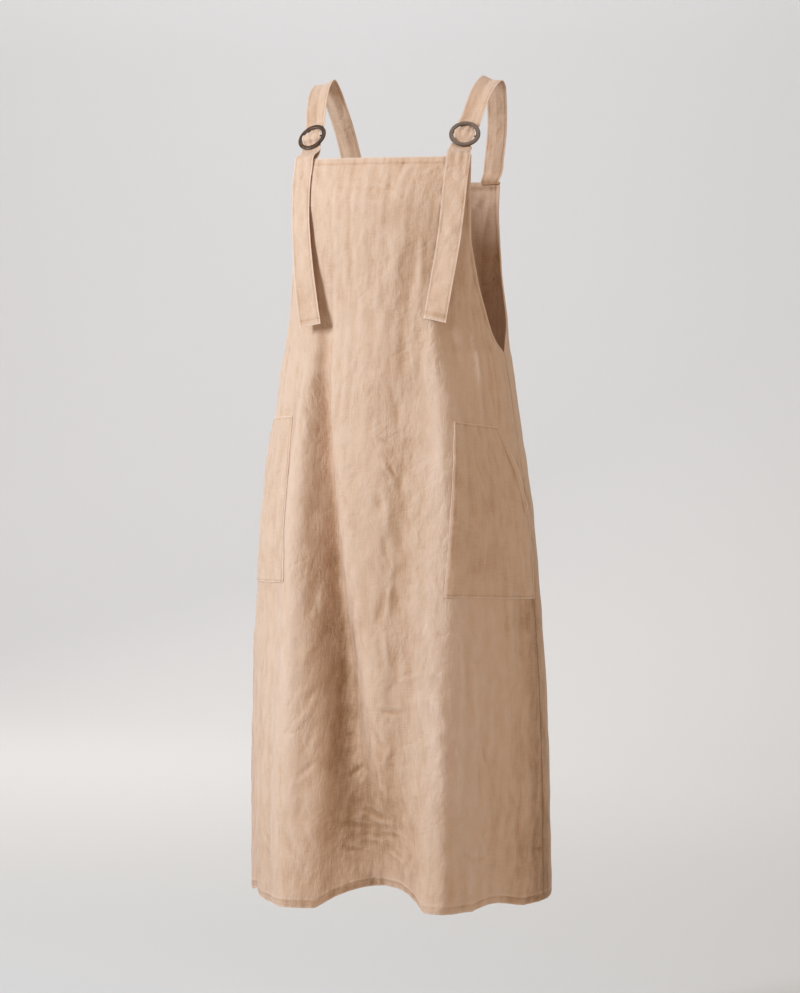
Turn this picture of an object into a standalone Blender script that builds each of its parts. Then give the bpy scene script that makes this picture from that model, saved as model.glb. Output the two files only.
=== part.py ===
"""Linen pinafore dress, hollow as it hangs on the wearer's shoulders.

Metres, +Z up. The front faces -Y and the wearer's left is +X. The origin is the middle of the
shoulder line, level with the tops of the two straps. Heights are written as drops below that line.

A panel is one smooth wall. Across it, `turn` runs from -1 at one edge to +1 at the other, the
wearer's left. Down it, `drop` runs from the top edge to the hem. Everything that lies on a panel is
made from the panel's own points, moved out or in by the wall and a small gap.
"""

import math
from typing import NamedTuple

import bmesh
import bpy
import numpy as np

# ---------------------------------------------------------------- driving dimensions

HEM_DROP = 1.132  # shoulder line to the hem
ARMHOLE_DROP = 0.377  # shoulder line to the foot of the armhole, where the side seam starts
BIB_DROP = 0.111  # shoulder line to the top edge of the front
BACK_DROP = 0.138  # shoulder line to the top edge of the back

CLOTH = 0.0016  # wall of one layer of linen with its folds and slubs
HEM_CLOTH = 0.0026  # wall where the linen is turned up twice
HEM_BAND = 0.010  # height of the turned-up hem at the foot
EDGE_BAND = 0.009  # height of the turned-down edge at the top of bib and back
SEAM_GAP = 0.0003  # clearance between two pieces that are sewn together

SKIRT_TILT = 0.001  # how far the skirt hangs lower at the wearer's right and higher at the left
SIDE_DROOP = 0.0045  # how far the cloth falls lower at both side seams than in the middle
SKIRT_SET = 0.62  # drop by which tilt and droop have their full size
BIB_LIFT = 0.003  # how far the straps pull up the corners of the bib
VALLEY_LIFT = 0.030  # most that the valley of a fold lifts the hem
VALLEY_FULL = 0.025  # depth of a valley that gives two thirds of that lift

POCKET_CLOTH = 0.0012  # wall of the patch pocket
POCKET_GAPE = 0.0026  # how far the slanted opening stands off the front

STRAP_CLOTH = 0.0015  # wall of the strap, a tube of linen pressed flat
STRAP_HALF = 0.0165  # half of the strap's width where it lies flat
STRAP_FOLDED = 0.0152  # half of its width over the shoulder, where it is creased
STRAP_CREASE = 0.0022  # depth of the crease along its middle
STRAP_TUCK = 0.008  # length of strap sewn to the inside of the back
STRAP_SEWN_X = 0.1008  # where the middle of that end is
STRAP_SEWN_HALF = 0.0142  # half of its width there
STRAP_ROW = 0.013  # length of one division of the strap

RING_CENTRE = (0.1122, -0.0493, -0.0790)  # ring of the wearer's left strap
RING_FACE = (0.20, -0.79, 0.58)  # direction in which that ring faces
RING_RISE = (0.08, 0.62, 0.78)  # direction in which the strap leaves it
RING_RADIUS = 0.0185  # middle of the ring's band
RING_BAND = 0.0030  # half of the band's width
RING_DEPTH = 0.0015  # half of the band's thickness
RING_DIVE = 0.0098  # distance from the crossbar at which the strap is behind the band
RING_SLOPE = 0.0064  # length over which it comes up to the front
RING_SPREAD = 0.0090  # length over which it spreads to its full width again
BAR_RADIUS = 0.0012  # crossbar that the tab and the strap go round
BAR_BACK = 0.0008  # how far the crossbar lies behind the middle of the ring
TAB_WALL = 0.0010  # half of the tab's two layers
TAB_EYE = 0.0023  # outer radius of the loop round the crossbar
TAB_HALF = 0.0150  # half of the tab's width at the bib
TAB_PINCH = 0.0108  # half of its width round the crossbar
TAB_TUCK = 0.009  # length of tab sewn to the inside of the bib
TAB_SEWN_X = 0.1115  # where the middle of that end is
TAB_LOOP = (-60.0, 240.0)  # the part of a turn that the tab's loop makes round the crossbar
TUCK_ROW = 0.0005  # the first row of a tucked end, below the panel's top edge

# Rows between the bib and the shoulder, in the ring's own frame: distances up from the crossbar
# for the strap's lower half in the ring, and (up, out) for the tab below its loop.
STRAP_RISES = (-0.0240, -0.0185, -0.0125, -0.0098, -0.0082, -0.0066, -0.0050, -0.0034, -0.0012)
TAB_LEGS = ((-0.0055, -0.0033), (-0.0098, -0.0050), (-0.0185, -0.0054), (-0.0265, -0.0052))

FRONT_COLUMNS = 44
BACK_COLUMNS = 36
RING_SIDES = 32
ROD_SIDES = 10
SEAM_TURN = 0.99935  # a panel's `turn` at its side seam, half a seam gap short of 1
POCKET_TURN = 0.9982  # the same for the pocket's edge in the side seam
POCKET_ROW = 0.012  # least height of a pocket's first and last row
SAME_POINT = 1e-7  # points closer than this are one
STEP = 1e-4  # step for slopes of a surface


class Section(NamedTuple):
    """One level of a panel: where its edge and its middle are, and how far it wraps round."""

    drop: float
    edge_x: float
    edge_y: float
    middle_y: float
    wrap: float


FRONT_SECTIONS = (
    #        drop   edge_x  edge_y  middle_y  wrap
    Section(0.111, 0.1280, -0.067, -0.0950, 50.0),
    Section(0.147, 0.1298, -0.074, -0.1200, 54.0),
    Section(0.184, 0.1310, -0.078, -0.1320, 58.0),
    Section(0.222, 0.1310, -0.077, -0.1350, 62.0),
    Section(0.250, 0.1330, -0.069, -0.1360, 66.0),
    Section(0.288, 0.1380, -0.062, -0.1370, 70.0),
    Section(0.313, 0.1425, -0.054, -0.1390, 74.0),
    Section(0.341, 0.1480, -0.046, -0.1410, 78.0),
    Section(0.362, 0.1530, -0.035, -0.1440, 83.0),
    Section(0.377, 0.1575, -0.012, -0.1460, 90.0),
    Section(0.475, 0.1725, -0.013, -0.1560, 90.0),
    Section(0.586, 0.1880, -0.014, -0.1680, 90.0),
    Section(0.726, 0.1990, -0.014, -0.1780, 90.0),
    Section(0.866, 0.2065, -0.014, -0.1860, 90.0),
    Section(1.006, 0.2095, -0.013, -0.1950, 90.0),
    Section(1.150, 0.2105, -0.012, -0.2000, 90.0),
)

BACK_SECTIONS = (
    #        drop   edge_x  edge_y  middle_y  wrap
    Section(0.138, 0.1155, 0.096, 0.1080, 40.0),
    Section(0.178, 0.1160, 0.090, 0.1150, 46.0),
    Section(0.218, 0.1190, 0.086, 0.1200, 53.0),
    Section(0.243, 0.1215, 0.083, 0.1230, 57.0),
    Section(0.278, 0.1270, 0.074, 0.1260, 63.0),
    Section(0.318, 0.1370, 0.058, 0.1300, 72.0),
    Section(0.341, 0.1445, 0.041, 0.1320, 78.0),
    Section(0.358, 0.1510, 0.017, 0.1340, 84.0),
    Section(0.377, 0.1575, -0.012, 0.1360, 90.0),
    Section(0.475, 0.1725, -0.013, 0.1500, 90.0),
    Section(0.586, 0.1880, -0.014, 0.1700, 90.0),
    Section(0.726, 0.1990, -0.014, 0.1800, 90.0),
    Section(0.866, 0.2065, -0.014, 0.1880, 90.0),
    Section(1.006, 0.2095, -0.013, 0.1960, 90.0),
    Section(1.150, 0.2105, -0.012, 0.2020, 90.0),
)


class Fold(NamedTuple):
    """One fold of the skirt: a ridge if its depths are above 0, a valley if they are below.

    Angles go round the body in degrees, 0 at the middle of the front and 90 at the wearer's left.
    """

    name: str
    angle_top: float
    angle_mid: float
    angle_hem: float
    spread_top: float
    spread_hem: float
    start: float
    depth_set: float
    depth_mid: float
    depth_hem: float


FOLD_TOP = 0.44  # drop of the upper angle of a fold
FOLD_SET = 0.50  # drop of its upper depth
FOLD_MID = 0.80  # drop of its middle angle and depth

FOLDS = (
    #    name             top   mid   hem  spread    start  depth set, mid, hem
    Fold("front_lobe_r", -32.0, -28.0, -26.0, 6.5, 9.5, 0.30, 0.008, 0.015, 0.017),
    Fold("front_valley", -24.0, -8.5, 5.0, 5.2, 12.5, 0.24, -0.027, -0.046, -0.048),
    Fold("front_swell", 2.0, 9.0, 10.0, 8.0, 8.5, 0.30, 0.002, 0.000, -0.002),
    Fold("front_dip", 22.0, 17.0, 18.0, 6.0, 9.0, 0.30, -0.004, -0.005, -0.026),
    Fold("front_lobe_l", 38.5, 35.0, 34.0, 6.8, 8.5, 0.27, 0.014, 0.016, 0.018),
    Fold("left_hollow", 58.0, 58.0, 60.0, 8.0, 10.0, 0.50, 0.000, -0.003, -0.007),
    Fold("left_ridge", 90.0, 96.0, 101.0, 14.0, 16.0, 0.36, 0.002, 0.005, 0.008),
    Fold("left_back_valley", 127.0, 128.0, 130.0, 8.0, 11.0, 0.44, -0.003, -0.009, -0.018),
    Fold("back_lobe_l", 147.0, 149.0, 151.0, 9.0, 12.0, 0.38, 0.004, 0.009, 0.014),
    Fold("back_valley", 168.0, 174.0, 179.0, 8.0, 12.0, 0.36, -0.009, -0.026, -0.040),
    Fold("back_lobe_r", 203.0, 206.0, 208.0, 10.0, 13.0, 0.38, 0.004, 0.010, 0.012),
    Fold("right_back_valley", 234.0, 238.0, 240.0, 8.0, 12.0, 0.46, -0.002, -0.010, -0.024),
    Fold("right_ridge", 262.0, 262.0, 260.0, 9.0, 12.0, 0.52, 0.000, 0.003, 0.008),
    Fold("right_hollow", 292.0, 294.0, 298.0, 8.0, 10.0, 0.54, 0.000, -0.002, -0.008),
)


class Panel(NamedTuple):
    """One body panel: its levels, the way it faces and how finely it is divided."""

    sections: tuple
    facing: float
    top: float
    columns: int


FRONT = Panel(FRONT_SECTIONS, -1.0, BIB_DROP, FRONT_COLUMNS)
BACK = Panel(BACK_SECTIONS, 1.0, BACK_DROP, BACK_COLUMNS)


class Pocket(NamedTuple):
    """Outline of a patch pocket on the front, in body angles (degrees) and drops (metres)."""

    top: float
    foot: float
    inner_top: float
    inner_foot: float
    slant_angle: float
    slant_foot: float
    outer_fall: float


POCKETS = {
    #              top    foot  inner top, foot  slant  its foot  fall
    "left": Pocket(0.470, 0.705, 42.0, 35.0, 71.0, 0.596, 0.008),
    "right": Pocket(0.464, 0.691, 42.5, 32.5, 71.0, 0.583, 0.004),
}


class Station(NamedTuple):
    """One place along a strap, given for the wearer's left side.

    `yaw` turns the strap's outer edge back and `fall` turns it down, both in degrees.
    """

    x: float
    y: float
    z: float
    yaw: float
    fall: float


SHOULDER = (
    #        x        y        z      yaw   fall
    Station(0.1145, -0.0289, -0.0580, 10.0, 0.0),
    Station(0.1175, -0.0190, -0.0410, 7.0, 1.0),
    Station(0.1197, -0.0080, -0.0255, 5.0, 4.0),
    Station(0.1217, 0.0030, -0.0141, 1.0, 10.0),
    Station(0.1233, 0.0165, -0.0049, -2.0, 13.0),
    Station(0.1247, 0.0355, 0.0010, -6.0, 15.0),
    Station(0.1238, 0.0510, -0.0089, -7.0, 8.0),
    Station(0.1215, 0.0602, -0.0218, -9.0, 3.0),
    Station(0.1183, 0.0720, -0.0418, -7.0, 1.0),
    Station(0.1145, 0.0830, -0.0650, -7.0, 0.0),
    Station(0.1073, 0.0924, -0.1050, -8.0, 0.0),
    Station(0.1030, 0.0958, -0.1280, -9.0, 0.0),
)


class Hang(NamedTuple):
    """One level of a strap's loose end: its middle, its turns and its least distance to the bib."""

    drop: float
    x: float
    yaw: float
    fall: float
    gap: float


LOOSE_END = {
    "left": (
        #    drop    x     yaw   fall    gap
        Hang(0.334, 0.0960, -2.0, 11.0, 0.0030),
        Hang(0.280, 0.1030, -1.0, 9.0, 0.0025),
        Hang(0.223, 0.1110, 2.0, 8.0, 0.0020),
        Hang(0.171, 0.1145, 8.0, 5.0, 0.0015),
        Hang(0.145, 0.1142, 12.0, 2.0, 0.0015),
        Hang(0.123, 0.1133, 17.0, 1.0, 0.0012),
        Hang(0.108, 0.1128, 19.0, 3.0, 0.0012),
    ),
    "right": (
        Hang(0.341, 0.0800, 8.0, 10.0, 0.0150),
        Hang(0.280, 0.0925, 11.0, 9.0, 0.0110),
        Hang(0.223, 0.1018, 20.0, 6.0, 0.0060),
        Hang(0.171, 0.1080, 22.0, 3.0, 0.0022),
        Hang(0.145, 0.1105, 20.0, 1.0, 0.0015),
        Hang(0.123, 0.1118, 19.0, 1.0, 0.0012),
        Hang(0.108, 0.1122, 19.0, 3.0, 0.0012),
    ),
}

# ---------------------------------------------------------------- surfaces


def smooth_column(drop, knots, values):
    """Value of a table's column at each drop: a cubic through its rows that never overshoots them."""
    knots = np.asarray(knots, dtype=float)
    values = np.asarray(values, dtype=float)
    rise = np.diff(values) / np.diff(knots)
    same_way = rise[:-1] * rise[1:] > 0.0
    total = np.where(same_way, rise[:-1] + rise[1:], 1.0)
    inner = np.where(same_way, 2.0 * rise[:-1] * rise[1:] / total, 0.0)
    slopes = np.concatenate([rise[:1], inner, rise[-1:]])
    inside = np.clip(drop, knots[0], knots[-1])
    row = np.clip(np.searchsorted(knots, inside) - 1, 0, len(knots) - 2)
    span = knots[row + 1] - knots[row]
    part = (inside - knots[row]) / span
    start = (2 * part**3 - 3 * part**2 + 1) * values[row]
    start += (part**3 - 2 * part**2 + part) * span * slopes[row]
    end = (3 * part**2 - 2 * part**3) * values[row + 1]
    end += (part**3 - part**2) * span * slopes[row + 1]
    return start + end


def edge_column(drop, sections, field):
    """A column with a corner at the foot of the armhole, where the edge becomes the side seam."""
    drops = np.array([row.drop for row in sections])
    values = np.array([getattr(row, field) for row in sections])
    above = drops <= ARMHOLE_DROP
    below = drops >= ARMHOLE_DROP
    armhole = smooth_column(drop, drops[above], values[above])
    seam = smooth_column(drop, drops[below], values[below])
    return np.where(drop < ARMHOLE_DROP, armhole, seam)


def ease(value):
    """Rises smoothly from 0 to 1 as the value does, and stays there."""
    part = np.clip(value, 0.0, 1.0)
    return part * part * (3.0 - 2.0 * part)


def section_values(panel, drop):
    """The panel's section columns at each drop, its wrap in radians."""
    drops = [row.drop for row in panel.sections]
    edge_x = smooth_column(drop, drops, [row.edge_x for row in panel.sections])
    middle_y = smooth_column(drop, drops, [row.middle_y for row in panel.sections])
    edge_y = edge_column(drop, panel.sections, "edge_y")
    wrap = edge_column(drop, panel.sections, "wrap")
    return edge_x, edge_y, middle_y, np.radians(wrap)


def fold_height(fold, drop):
    """Depth of a fold at its middle: 0 down to its start, then through its depths to the hem."""
    if fold.start < FOLD_SET:
        drops = (fold.start - 0.05, fold.start, FOLD_SET, FOLD_MID, HEM_DROP)
        return smooth_column(drop, drops, (0.0, 0.0, fold.depth_set, fold.depth_mid, fold.depth_hem))
    drops = (fold.start - 0.05, fold.start, FOLD_MID, HEM_DROP)
    return smooth_column(drop, drops, (0.0, 0.0, fold.depth_mid, fold.depth_hem))


def fold_depth(angle, drop):
    """How far the folds move the cloth out at a body angle (degrees) and drop."""
    depth = np.zeros(np.broadcast(angle, drop).shape)
    for fold in FOLDS:
        levels = (FOLD_TOP, FOLD_MID, HEM_DROP)
        centre = smooth_column(drop, levels, (fold.angle_top, fold.angle_mid, fold.angle_hem))
        spread = smooth_column(drop, (FOLD_TOP, HEM_DROP), (fold.spread_top, fold.spread_hem))
        away = (angle - centre + 180.0) % 360.0 - 180.0
        depth += fold_height(fold, drop) * np.exp(-((away / spread) ** 2))
    return depth


def panel_point(panel, turn, drop):
    """Outer point of a panel: an arc through its middle and edges at each level, moved by the folds."""
    turn, drop = np.broadcast_arrays(np.asarray(turn, dtype=float), np.asarray(drop, dtype=float))
    edge_x, edge_y, middle_y, wrap = section_values(panel, drop)
    phi = turn * wrap
    reach = edge_x / np.sin(wrap)
    depth = (middle_y - edge_y) / (1.0 - np.cos(wrap))
    x = reach * np.sin(phi)
    y = edge_y + depth * (np.cos(phi) - np.cos(wrap))
    out_x = np.abs(depth) * np.sin(phi)
    out_y = panel.facing * reach * np.cos(phi)
    length = np.hypot(out_x, out_y)
    angle = np.degrees(phi) if panel.facing < 0 else 180.0 - np.degrees(phi)
    fold = fold_depth(angle, drop)
    x = x + fold * out_x / length
    y = y + fold * out_y / length
    settled = ease((drop - ARMHOLE_DROP) / (SKIRT_SET - ARMHOLE_DROP))
    hem = ease((drop - FOLD_MID) / (HEM_DROP - FOLD_MID))
    side = np.sin(np.radians(angle))
    lift = settled * (SKIRT_TILT * side - SIDE_DROOP * side**2)
    lift = lift + hem * VALLEY_LIFT * (1.0 - np.exp(np.minimum(fold, 0.0) / VALLEY_FULL))
    if panel is FRONT:
        lift = lift + BIB_LIFT * np.abs(turn) ** 5 * ease((ARMHOLE_DROP - drop) / 0.2)
    return np.stack([x, y, lift - drop], axis=-1)


def panel_normal(panel, turn, drop):
    """Outward unit normal of a panel, from the slopes of its surface."""
    across = panel_point(panel, turn + STEP, drop) - panel_point(panel, turn - STEP, drop)
    down = panel_point(panel, turn, drop + STEP) - panel_point(panel, turn, drop - STEP)
    normal = panel.facing * np.cross(across, down)
    return normal / np.linalg.norm(normal, axis=-1, keepdims=True)


def on_panel(panel, turn, drop, offset):
    """Point that lies `offset` outside the panel's outer face."""
    offset = np.asarray(offset, dtype=float)[..., None]
    return panel_point(panel, turn, drop) + offset * panel_normal(panel, turn, drop)


def turn_at(panel, x, drop):
    """The `turn` at which a panel without folds passes a given x."""
    edge_x, _, _, wrap = section_values(panel, drop)
    return np.arcsin(np.clip(x / edge_x * np.sin(wrap), -1.0, 1.0)) / wrap


def wall_at(panel, drop):
    """Thickness of the wall at each drop: double cloth in the edge band and the hem."""
    top = ease((panel.top + EDGE_BAND + 0.001 - drop) / 0.001)
    foot = ease((drop - (HEM_DROP - HEM_BAND - 0.001)) / 0.001)
    return CLOTH + (HEM_CLOTH - CLOTH) * np.maximum(top, foot)


def panel_levels(panel):
    """Drops of the panel's rows: close at the bands, the folds' foot and the armhole."""
    top = panel.top
    return np.concatenate(
        [
            [top, top + EDGE_BAND, top + EDGE_BAND + 0.001],
            np.linspace(top + EDGE_BAND + 0.022, ARMHOLE_DROP - 0.020, 8),
            [ARMHOLE_DROP - 0.008, ARMHOLE_DROP],
            np.linspace(ARMHOLE_DROP + 0.035, HEM_DROP - HEM_BAND - 0.035, 18),
            [HEM_DROP - HEM_BAND - 0.001, HEM_DROP - HEM_BAND, HEM_DROP],
        ]
    )


# ---------------------------------------------------------------- solids


def material(name, colour, roughness):
    """A plain Principled material in linear colour."""
    made = bpy.data.materials.new(name)
    made.use_nodes = True
    shader = made.node_tree.nodes["Principled BSDF"]
    shader.inputs["Base Color"].default_value = (*colour, 1.0)
    shader.inputs["Roughness"].default_value = roughness
    shader.inputs["Metallic"].default_value = 0.0
    return made


def wall_solid(name, outer, inner, made):
    """Closed wall between two grids of points that face each other, outer face first."""
    rows, columns = outer.shape[:2]
    count = rows * columns
    index = np.arange(count).reshape(rows, columns)
    first = np.stack([index[:-1, :-1], index[1:, :-1], index[1:, 1:], index[:-1, 1:]], axis=-1)
    faces = [first.reshape(-1, 4), first.reshape(-1, 4)[:, ::-1] + count]
    rim = np.concatenate([index[0, :], index[1:, -1], index[-1, -2::-1], index[-2:0:-1, 0]])
    after = np.roll(rim, -1)
    faces.append(np.stack([rim, after, after + count, rim + count], axis=-1))
    points = np.concatenate([outer.reshape(-1, 3), inner.reshape(-1, 3)])
    return solid_object(name, points, np.concatenate(faces).tolist(), made)


def solid_object(name, points, faces, made):
    """One named object from points and faces, its faces turned outwards and shaded smooth."""
    mesh = bpy.data.meshes.new(name)
    mesh.from_pydata(points.tolist(), [], faces)
    shape = bmesh.new()
    shape.from_mesh(mesh)
    bmesh.ops.remove_doubles(shape, verts=shape.verts, dist=SAME_POINT)
    bmesh.ops.recalc_face_normals(shape, faces=shape.faces)
    if shape.calc_volume(signed=True) < 0.0:
        bmesh.ops.reverse_faces(shape, faces=shape.faces)
    shape.to_mesh(mesh)
    shape.free()
    mesh.materials.append(made)
    mesh.shade_smooth()
    mesh.set_sharp_from_angle(angle=math.radians(50.0))
    thing = bpy.data.objects.new(name, mesh)
    bpy.context.scene.collection.objects.link(thing)
    return thing


def build_panel(name, panel, made):
    """A body panel from its top edge to the hem, side seam to side seam."""
    drop = panel_levels(panel)[:, None]
    turn = np.linspace(-SEAM_TURN, SEAM_TURN, panel.columns + 1)[None, :]
    outer = panel_point(panel, turn, drop)
    inner = on_panel(panel, turn, drop, -wall_at(panel, drop) + 0.0 * turn)
    return wall_solid(name, outer, inner, made)


def build_pocket(name, side, cut, made):
    """A patch pocket on the front's own rows and columns, cut off at the pocket's outline."""
    levels = panel_levels(FRONT)
    inside = levels[(levels > cut.top + POCKET_ROW) & (levels < cut.foot - POCKET_ROW)]
    level = np.concatenate([[cut.top], inside, [cut.foot]])[:, None]
    part = (level - cut.top) / (cut.foot - cut.top)
    slant = np.clip((level - cut.top) / (cut.slant_foot - cut.top), 0.0, 1.0)
    inner_turn = (cut.inner_top + (cut.inner_foot - cut.inner_top) * part) / 90.0
    outer_turn = cut.slant_angle / 90.0 + (POCKET_TURN - cut.slant_angle / 90.0) * slant
    columns = np.linspace(0.0, SEAM_TURN, FRONT_COLUMNS // 2 + 1)[None, :]
    turn = np.clip(columns, inner_turn, outer_turn)
    across = (turn - inner_turn) / (outer_turn - inner_turn)
    at_edge = (level == cut.top) | (level == cut.foot)
    drop = level + cut.outer_fall * across * at_edge
    gape = POCKET_GAPE * across**4 * np.sin(math.pi * slant)
    under = on_panel(FRONT, side * turn, drop, SEAM_GAP + gape)
    over = on_panel(FRONT, side * turn, drop, SEAM_GAP + gape + POCKET_CLOTH)
    return wall_solid(name, over, under, made)


# ---------------------------------------------------------------- straps, tabs and rings


def unit(vector):
    """The vector at length 1."""
    return vector / np.linalg.norm(vector)


def ring_frame(side):
    """Centre of a ring and its directions: along the crossbar outwards, up the strap, and out."""
    mirror = np.array([side, 1.0, 1.0])
    centre = mirror * np.array(RING_CENTRE)
    face = unit(mirror * np.array(RING_FACE))
    rise = mirror * np.array(RING_RISE)
    rise = unit(rise - face * rise.dot(face))
    along = side * np.cross(rise, face)
    return centre, along, rise, face


def in_ring(side, along, rise, face):
    """World point from distances along the ring's three directions."""
    centre, along_axis, rise_axis, face_axis = ring_frame(side)
    along, rise, face = np.broadcast_arrays(along, rise, face)
    point = along[..., None] * along_axis + rise[..., None] * rise_axis + face[..., None] * face_axis
    return centre + point


def strap_behind():
    """How far behind the ring's middle the strap passes its rim."""
    return RING_DEPTH + SEAM_GAP + STRAP_CLOTH / 2 + STEP


def strap_over():
    """How far in front of the ring's middle the strap passes the tab's loop."""
    return TAB_EYE - BAR_BACK + SEAM_GAP + STRAP_CLOTH / 2 + STEP


def width_direction(side, yaw, fall):
    """Direction from the strap's inner edge to its outer edge."""
    yaw = math.radians(yaw)
    fall = math.radians(fall)
    return np.array([side * math.cos(yaw) * math.cos(fall), math.sin(yaw) * math.cos(fall), -math.sin(fall)])


def loose_rows(hangs, side, across):
    """Middle surface of the strap's loose end: flat rows that hang clear of the bib."""
    rows = []
    for hang in hangs:
        width = width_direction(side, hang.yaw, hang.fall)
        row = np.array([side * hang.x, 0.0, -hang.drop]) + STRAP_HALF * across[:, None] * width
        bib = panel_point(FRONT, turn_at(FRONT, row[:, 0], -row[:, 2]), -row[:, 2])
        clear = (hang.gap + STRAP_CLOTH / 2) / math.cos(math.radians(hang.yaw))
        row[:, 1] += (bib[:, 1] - row[:, 1]).min() - clear
        rows.append(row)
    return rows


def ring_rows(side, across):
    """Middle surface of the strap through the ring: behind the rim, over the bar, behind the rim."""
    above = [-rise for rise in reversed(STRAP_RISES)]
    return [ring_row(side, across, rise) for rise in (*STRAP_RISES, *above)]


def ring_row(side, across, rise):
    """One row of the strap at a distance up from the crossbar, narrowed by the ring's hole."""
    away = abs(rise)
    hole = RING_RADIUS - RING_BAND - SEAM_GAP - STRAP_CLOTH / 2
    inside = math.sqrt(max(hole**2 - away**2, 0.0))
    half = inside + (STRAP_FOLDED - inside) * ease((away - RING_DIVE) / RING_SPREAD)
    over = ease((RING_DIVE - away) / RING_SLOPE)
    face = -strap_behind() + (strap_over() + strap_behind()) * over
    return in_ring(side, half * across, rise, face + 0.0 * across)


def shoulder_rows(side, across):
    """Middle surface of the strap over the shoulder, creased along its middle."""
    rows = []
    mirror = np.array([side, 1.0, 1.0])
    places = mirror * np.array([place[:3] for place in SHOULDER])
    along = np.gradient(places, axis=0)
    crease = STRAP_CREASE * (0.5 - np.abs(across))
    for place, middle, run in zip(SHOULDER, places, along):
        width = width_direction(side, place.yaw, place.fall)
        inward = side * unit(np.cross(run, width))
        rows.append(middle + STRAP_FOLDED * across[:, None] * width + crease[:, None] * inward)
    return rows


def tuck_rows(side, across):
    """Middle surface of the strap's end, sewn to the inside of the back."""
    rows = []
    for drop in (BACK_DROP + TUCK_ROW, BACK_DROP + STRAP_TUCK):
        x = side * (STRAP_SEWN_X + across * STRAP_SEWN_HALF)
        turn = turn_at(BACK, x, drop)
        inside = HEM_CLOTH + SEAM_GAP + STRAP_CLOTH / 2
        rows.append(on_panel(BACK, turn, drop, -inside + 0.0 * across))
    return rows


def spline_rows(rows, pieces):
    """Rows between the given ones on a smooth curve through them, evenly spaced by length."""
    rows = np.asarray(rows)
    gaps = np.linalg.norm(np.diff(rows.mean(axis=1), axis=0), axis=-1)
    length = np.concatenate([[0.0], np.cumsum(gaps)])
    slopes = np.gradient(rows, length, axis=0)
    made = [rows[0]]
    for row, gap in enumerate(gaps):
        for part in np.linspace(0.0, 1.0, max(1, round(gap / pieces)) + 1)[1:]:
            point = (2 * part**3 - 3 * part**2 + 1) * rows[row]
            point += (part**3 - 2 * part**2 + part) * gap * slopes[row]
            point += (3 * part**2 - 2 * part**3) * rows[row + 1]
            point += (part**3 - part**2) * gap * slopes[row + 1]
            made.append(point)
    return np.array(made)


def thicken(grid, half):
    """Two grids, half a wall each way from the middle surface along its own normals."""
    along = np.gradient(grid, axis=0)
    across = np.gradient(grid, axis=1)
    normal = np.cross(along, across)
    normal /= np.linalg.norm(normal, axis=-1, keepdims=True)
    return grid + half * normal, grid - half * normal


def build_strap(name, side, hangs, made):
    """A whole strap: loose end, through the ring, over the shoulder, to the inside of the back."""
    across = np.linspace(-1.0, 1.0, 7)
    rows = loose_rows(hangs, side, across)
    rows += ring_rows(side, across)
    rows += shoulder_rows(side, across)
    rows += tuck_rows(side, across)
    grid = spline_rows(rows, STRAP_ROW)
    over, under = thicken(grid, STRAP_CLOTH / 2)
    return wall_solid(name, over, under, made)


def build_tab(name, side, made):
    """The short tab from the bib's inside up to its loop round the ring's crossbar."""
    columns = np.linspace(-1.0, 1.0, 7)
    front, back = tab_faces(side, columns)
    loop = []
    for angle in np.radians(np.linspace(*TAB_LOOP, 13)):
        rise = TAB_EYE * math.sin(angle)
        face = TAB_EYE * math.cos(angle) - BAR_BACK
        loop.append(in_ring(side, TAB_PINCH * columns, rise, face))
    around = np.array([*back[::-1], *loop[::-1], *front])
    rings, count = around.shape[:2]
    index = np.arange(rings * count).reshape(rings, count)
    after = np.roll(index, -1, axis=0)
    sides = np.stack([index[:, :-1], after[:, :-1], after[:, 1:], index[:, 1:]], axis=-1)
    faces = sides.reshape(-1, 4).tolist()
    faces.append(index[:, 0].tolist())
    faces.append(index[::-1, -1].tolist())
    tab = solid_object(name, around.reshape(-1, 3), faces, made)
    hole = rod(f"{name}_eye", side, BAR_RADIUS + SEAM_GAP, STRAP_HALF, made)
    boolean(tab, hole, "DIFFERENCE")


def tab_faces(side, columns):
    """Points of the tab's front and back faces, from below the loop to the end inside the bib."""
    middle = [in_ring(side, TAB_PINCH * columns, 0.0, -BAR_BACK + 0.0 * columns)]
    for step, leg in enumerate(TAB_LEGS):
        half = TAB_PINCH + (TAB_HALF - TAB_PINCH) * step / len(TAB_LEGS)
        middle.append(in_ring(side, half * columns, *leg))
    inside = HEM_CLOTH + SEAM_GAP + TAB_WALL
    for drop in (BIB_DROP + TUCK_ROW, BIB_DROP + TAB_TUCK):
        turn = turn_at(FRONT, side * (TAB_SEWN_X + columns * TAB_HALF), drop)
        middle.append(on_panel(FRONT, turn, drop, -inside + 0.0 * columns))
    one, other = thicken(np.array(middle), TAB_WALL)
    forward = (one[2] - other[2]).mean(axis=0).dot(ring_frame(side)[3]) > 0.0
    front, back = (one, other) if forward else (other, one)
    return front[1:], back[1:]


def rod(name, side, radius, half, made):
    """A round rod along the crossbar's line."""
    angle = np.linspace(0.0, 2.0 * math.pi, ROD_SIDES, endpoint=False)
    rise = radius * np.sin(angle)
    face = radius * np.cos(angle) - BAR_BACK
    ends = [in_ring(side, end, rise, face) for end in (-half, half)]
    index = np.arange(ROD_SIDES)
    after = np.roll(index, -1)
    faces = np.stack([index, after, after + ROD_SIDES, index + ROD_SIDES], axis=-1).tolist()
    faces.append(index.tolist())
    faces.append((index[::-1] + ROD_SIDES).tolist())
    return solid_object(name, np.concatenate(ends), faces, made)


def boolean(thing, tool, operation):
    """Joins the tool to the object or cuts it out, and marks the tool as no piece of its own."""
    tool.hide_render = True
    tool.display_type = "WIRE"
    step = thing.modifiers.new(tool.name, "BOOLEAN")
    step.operation = operation
    step.solver = "EXACT"
    step.object = tool


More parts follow.
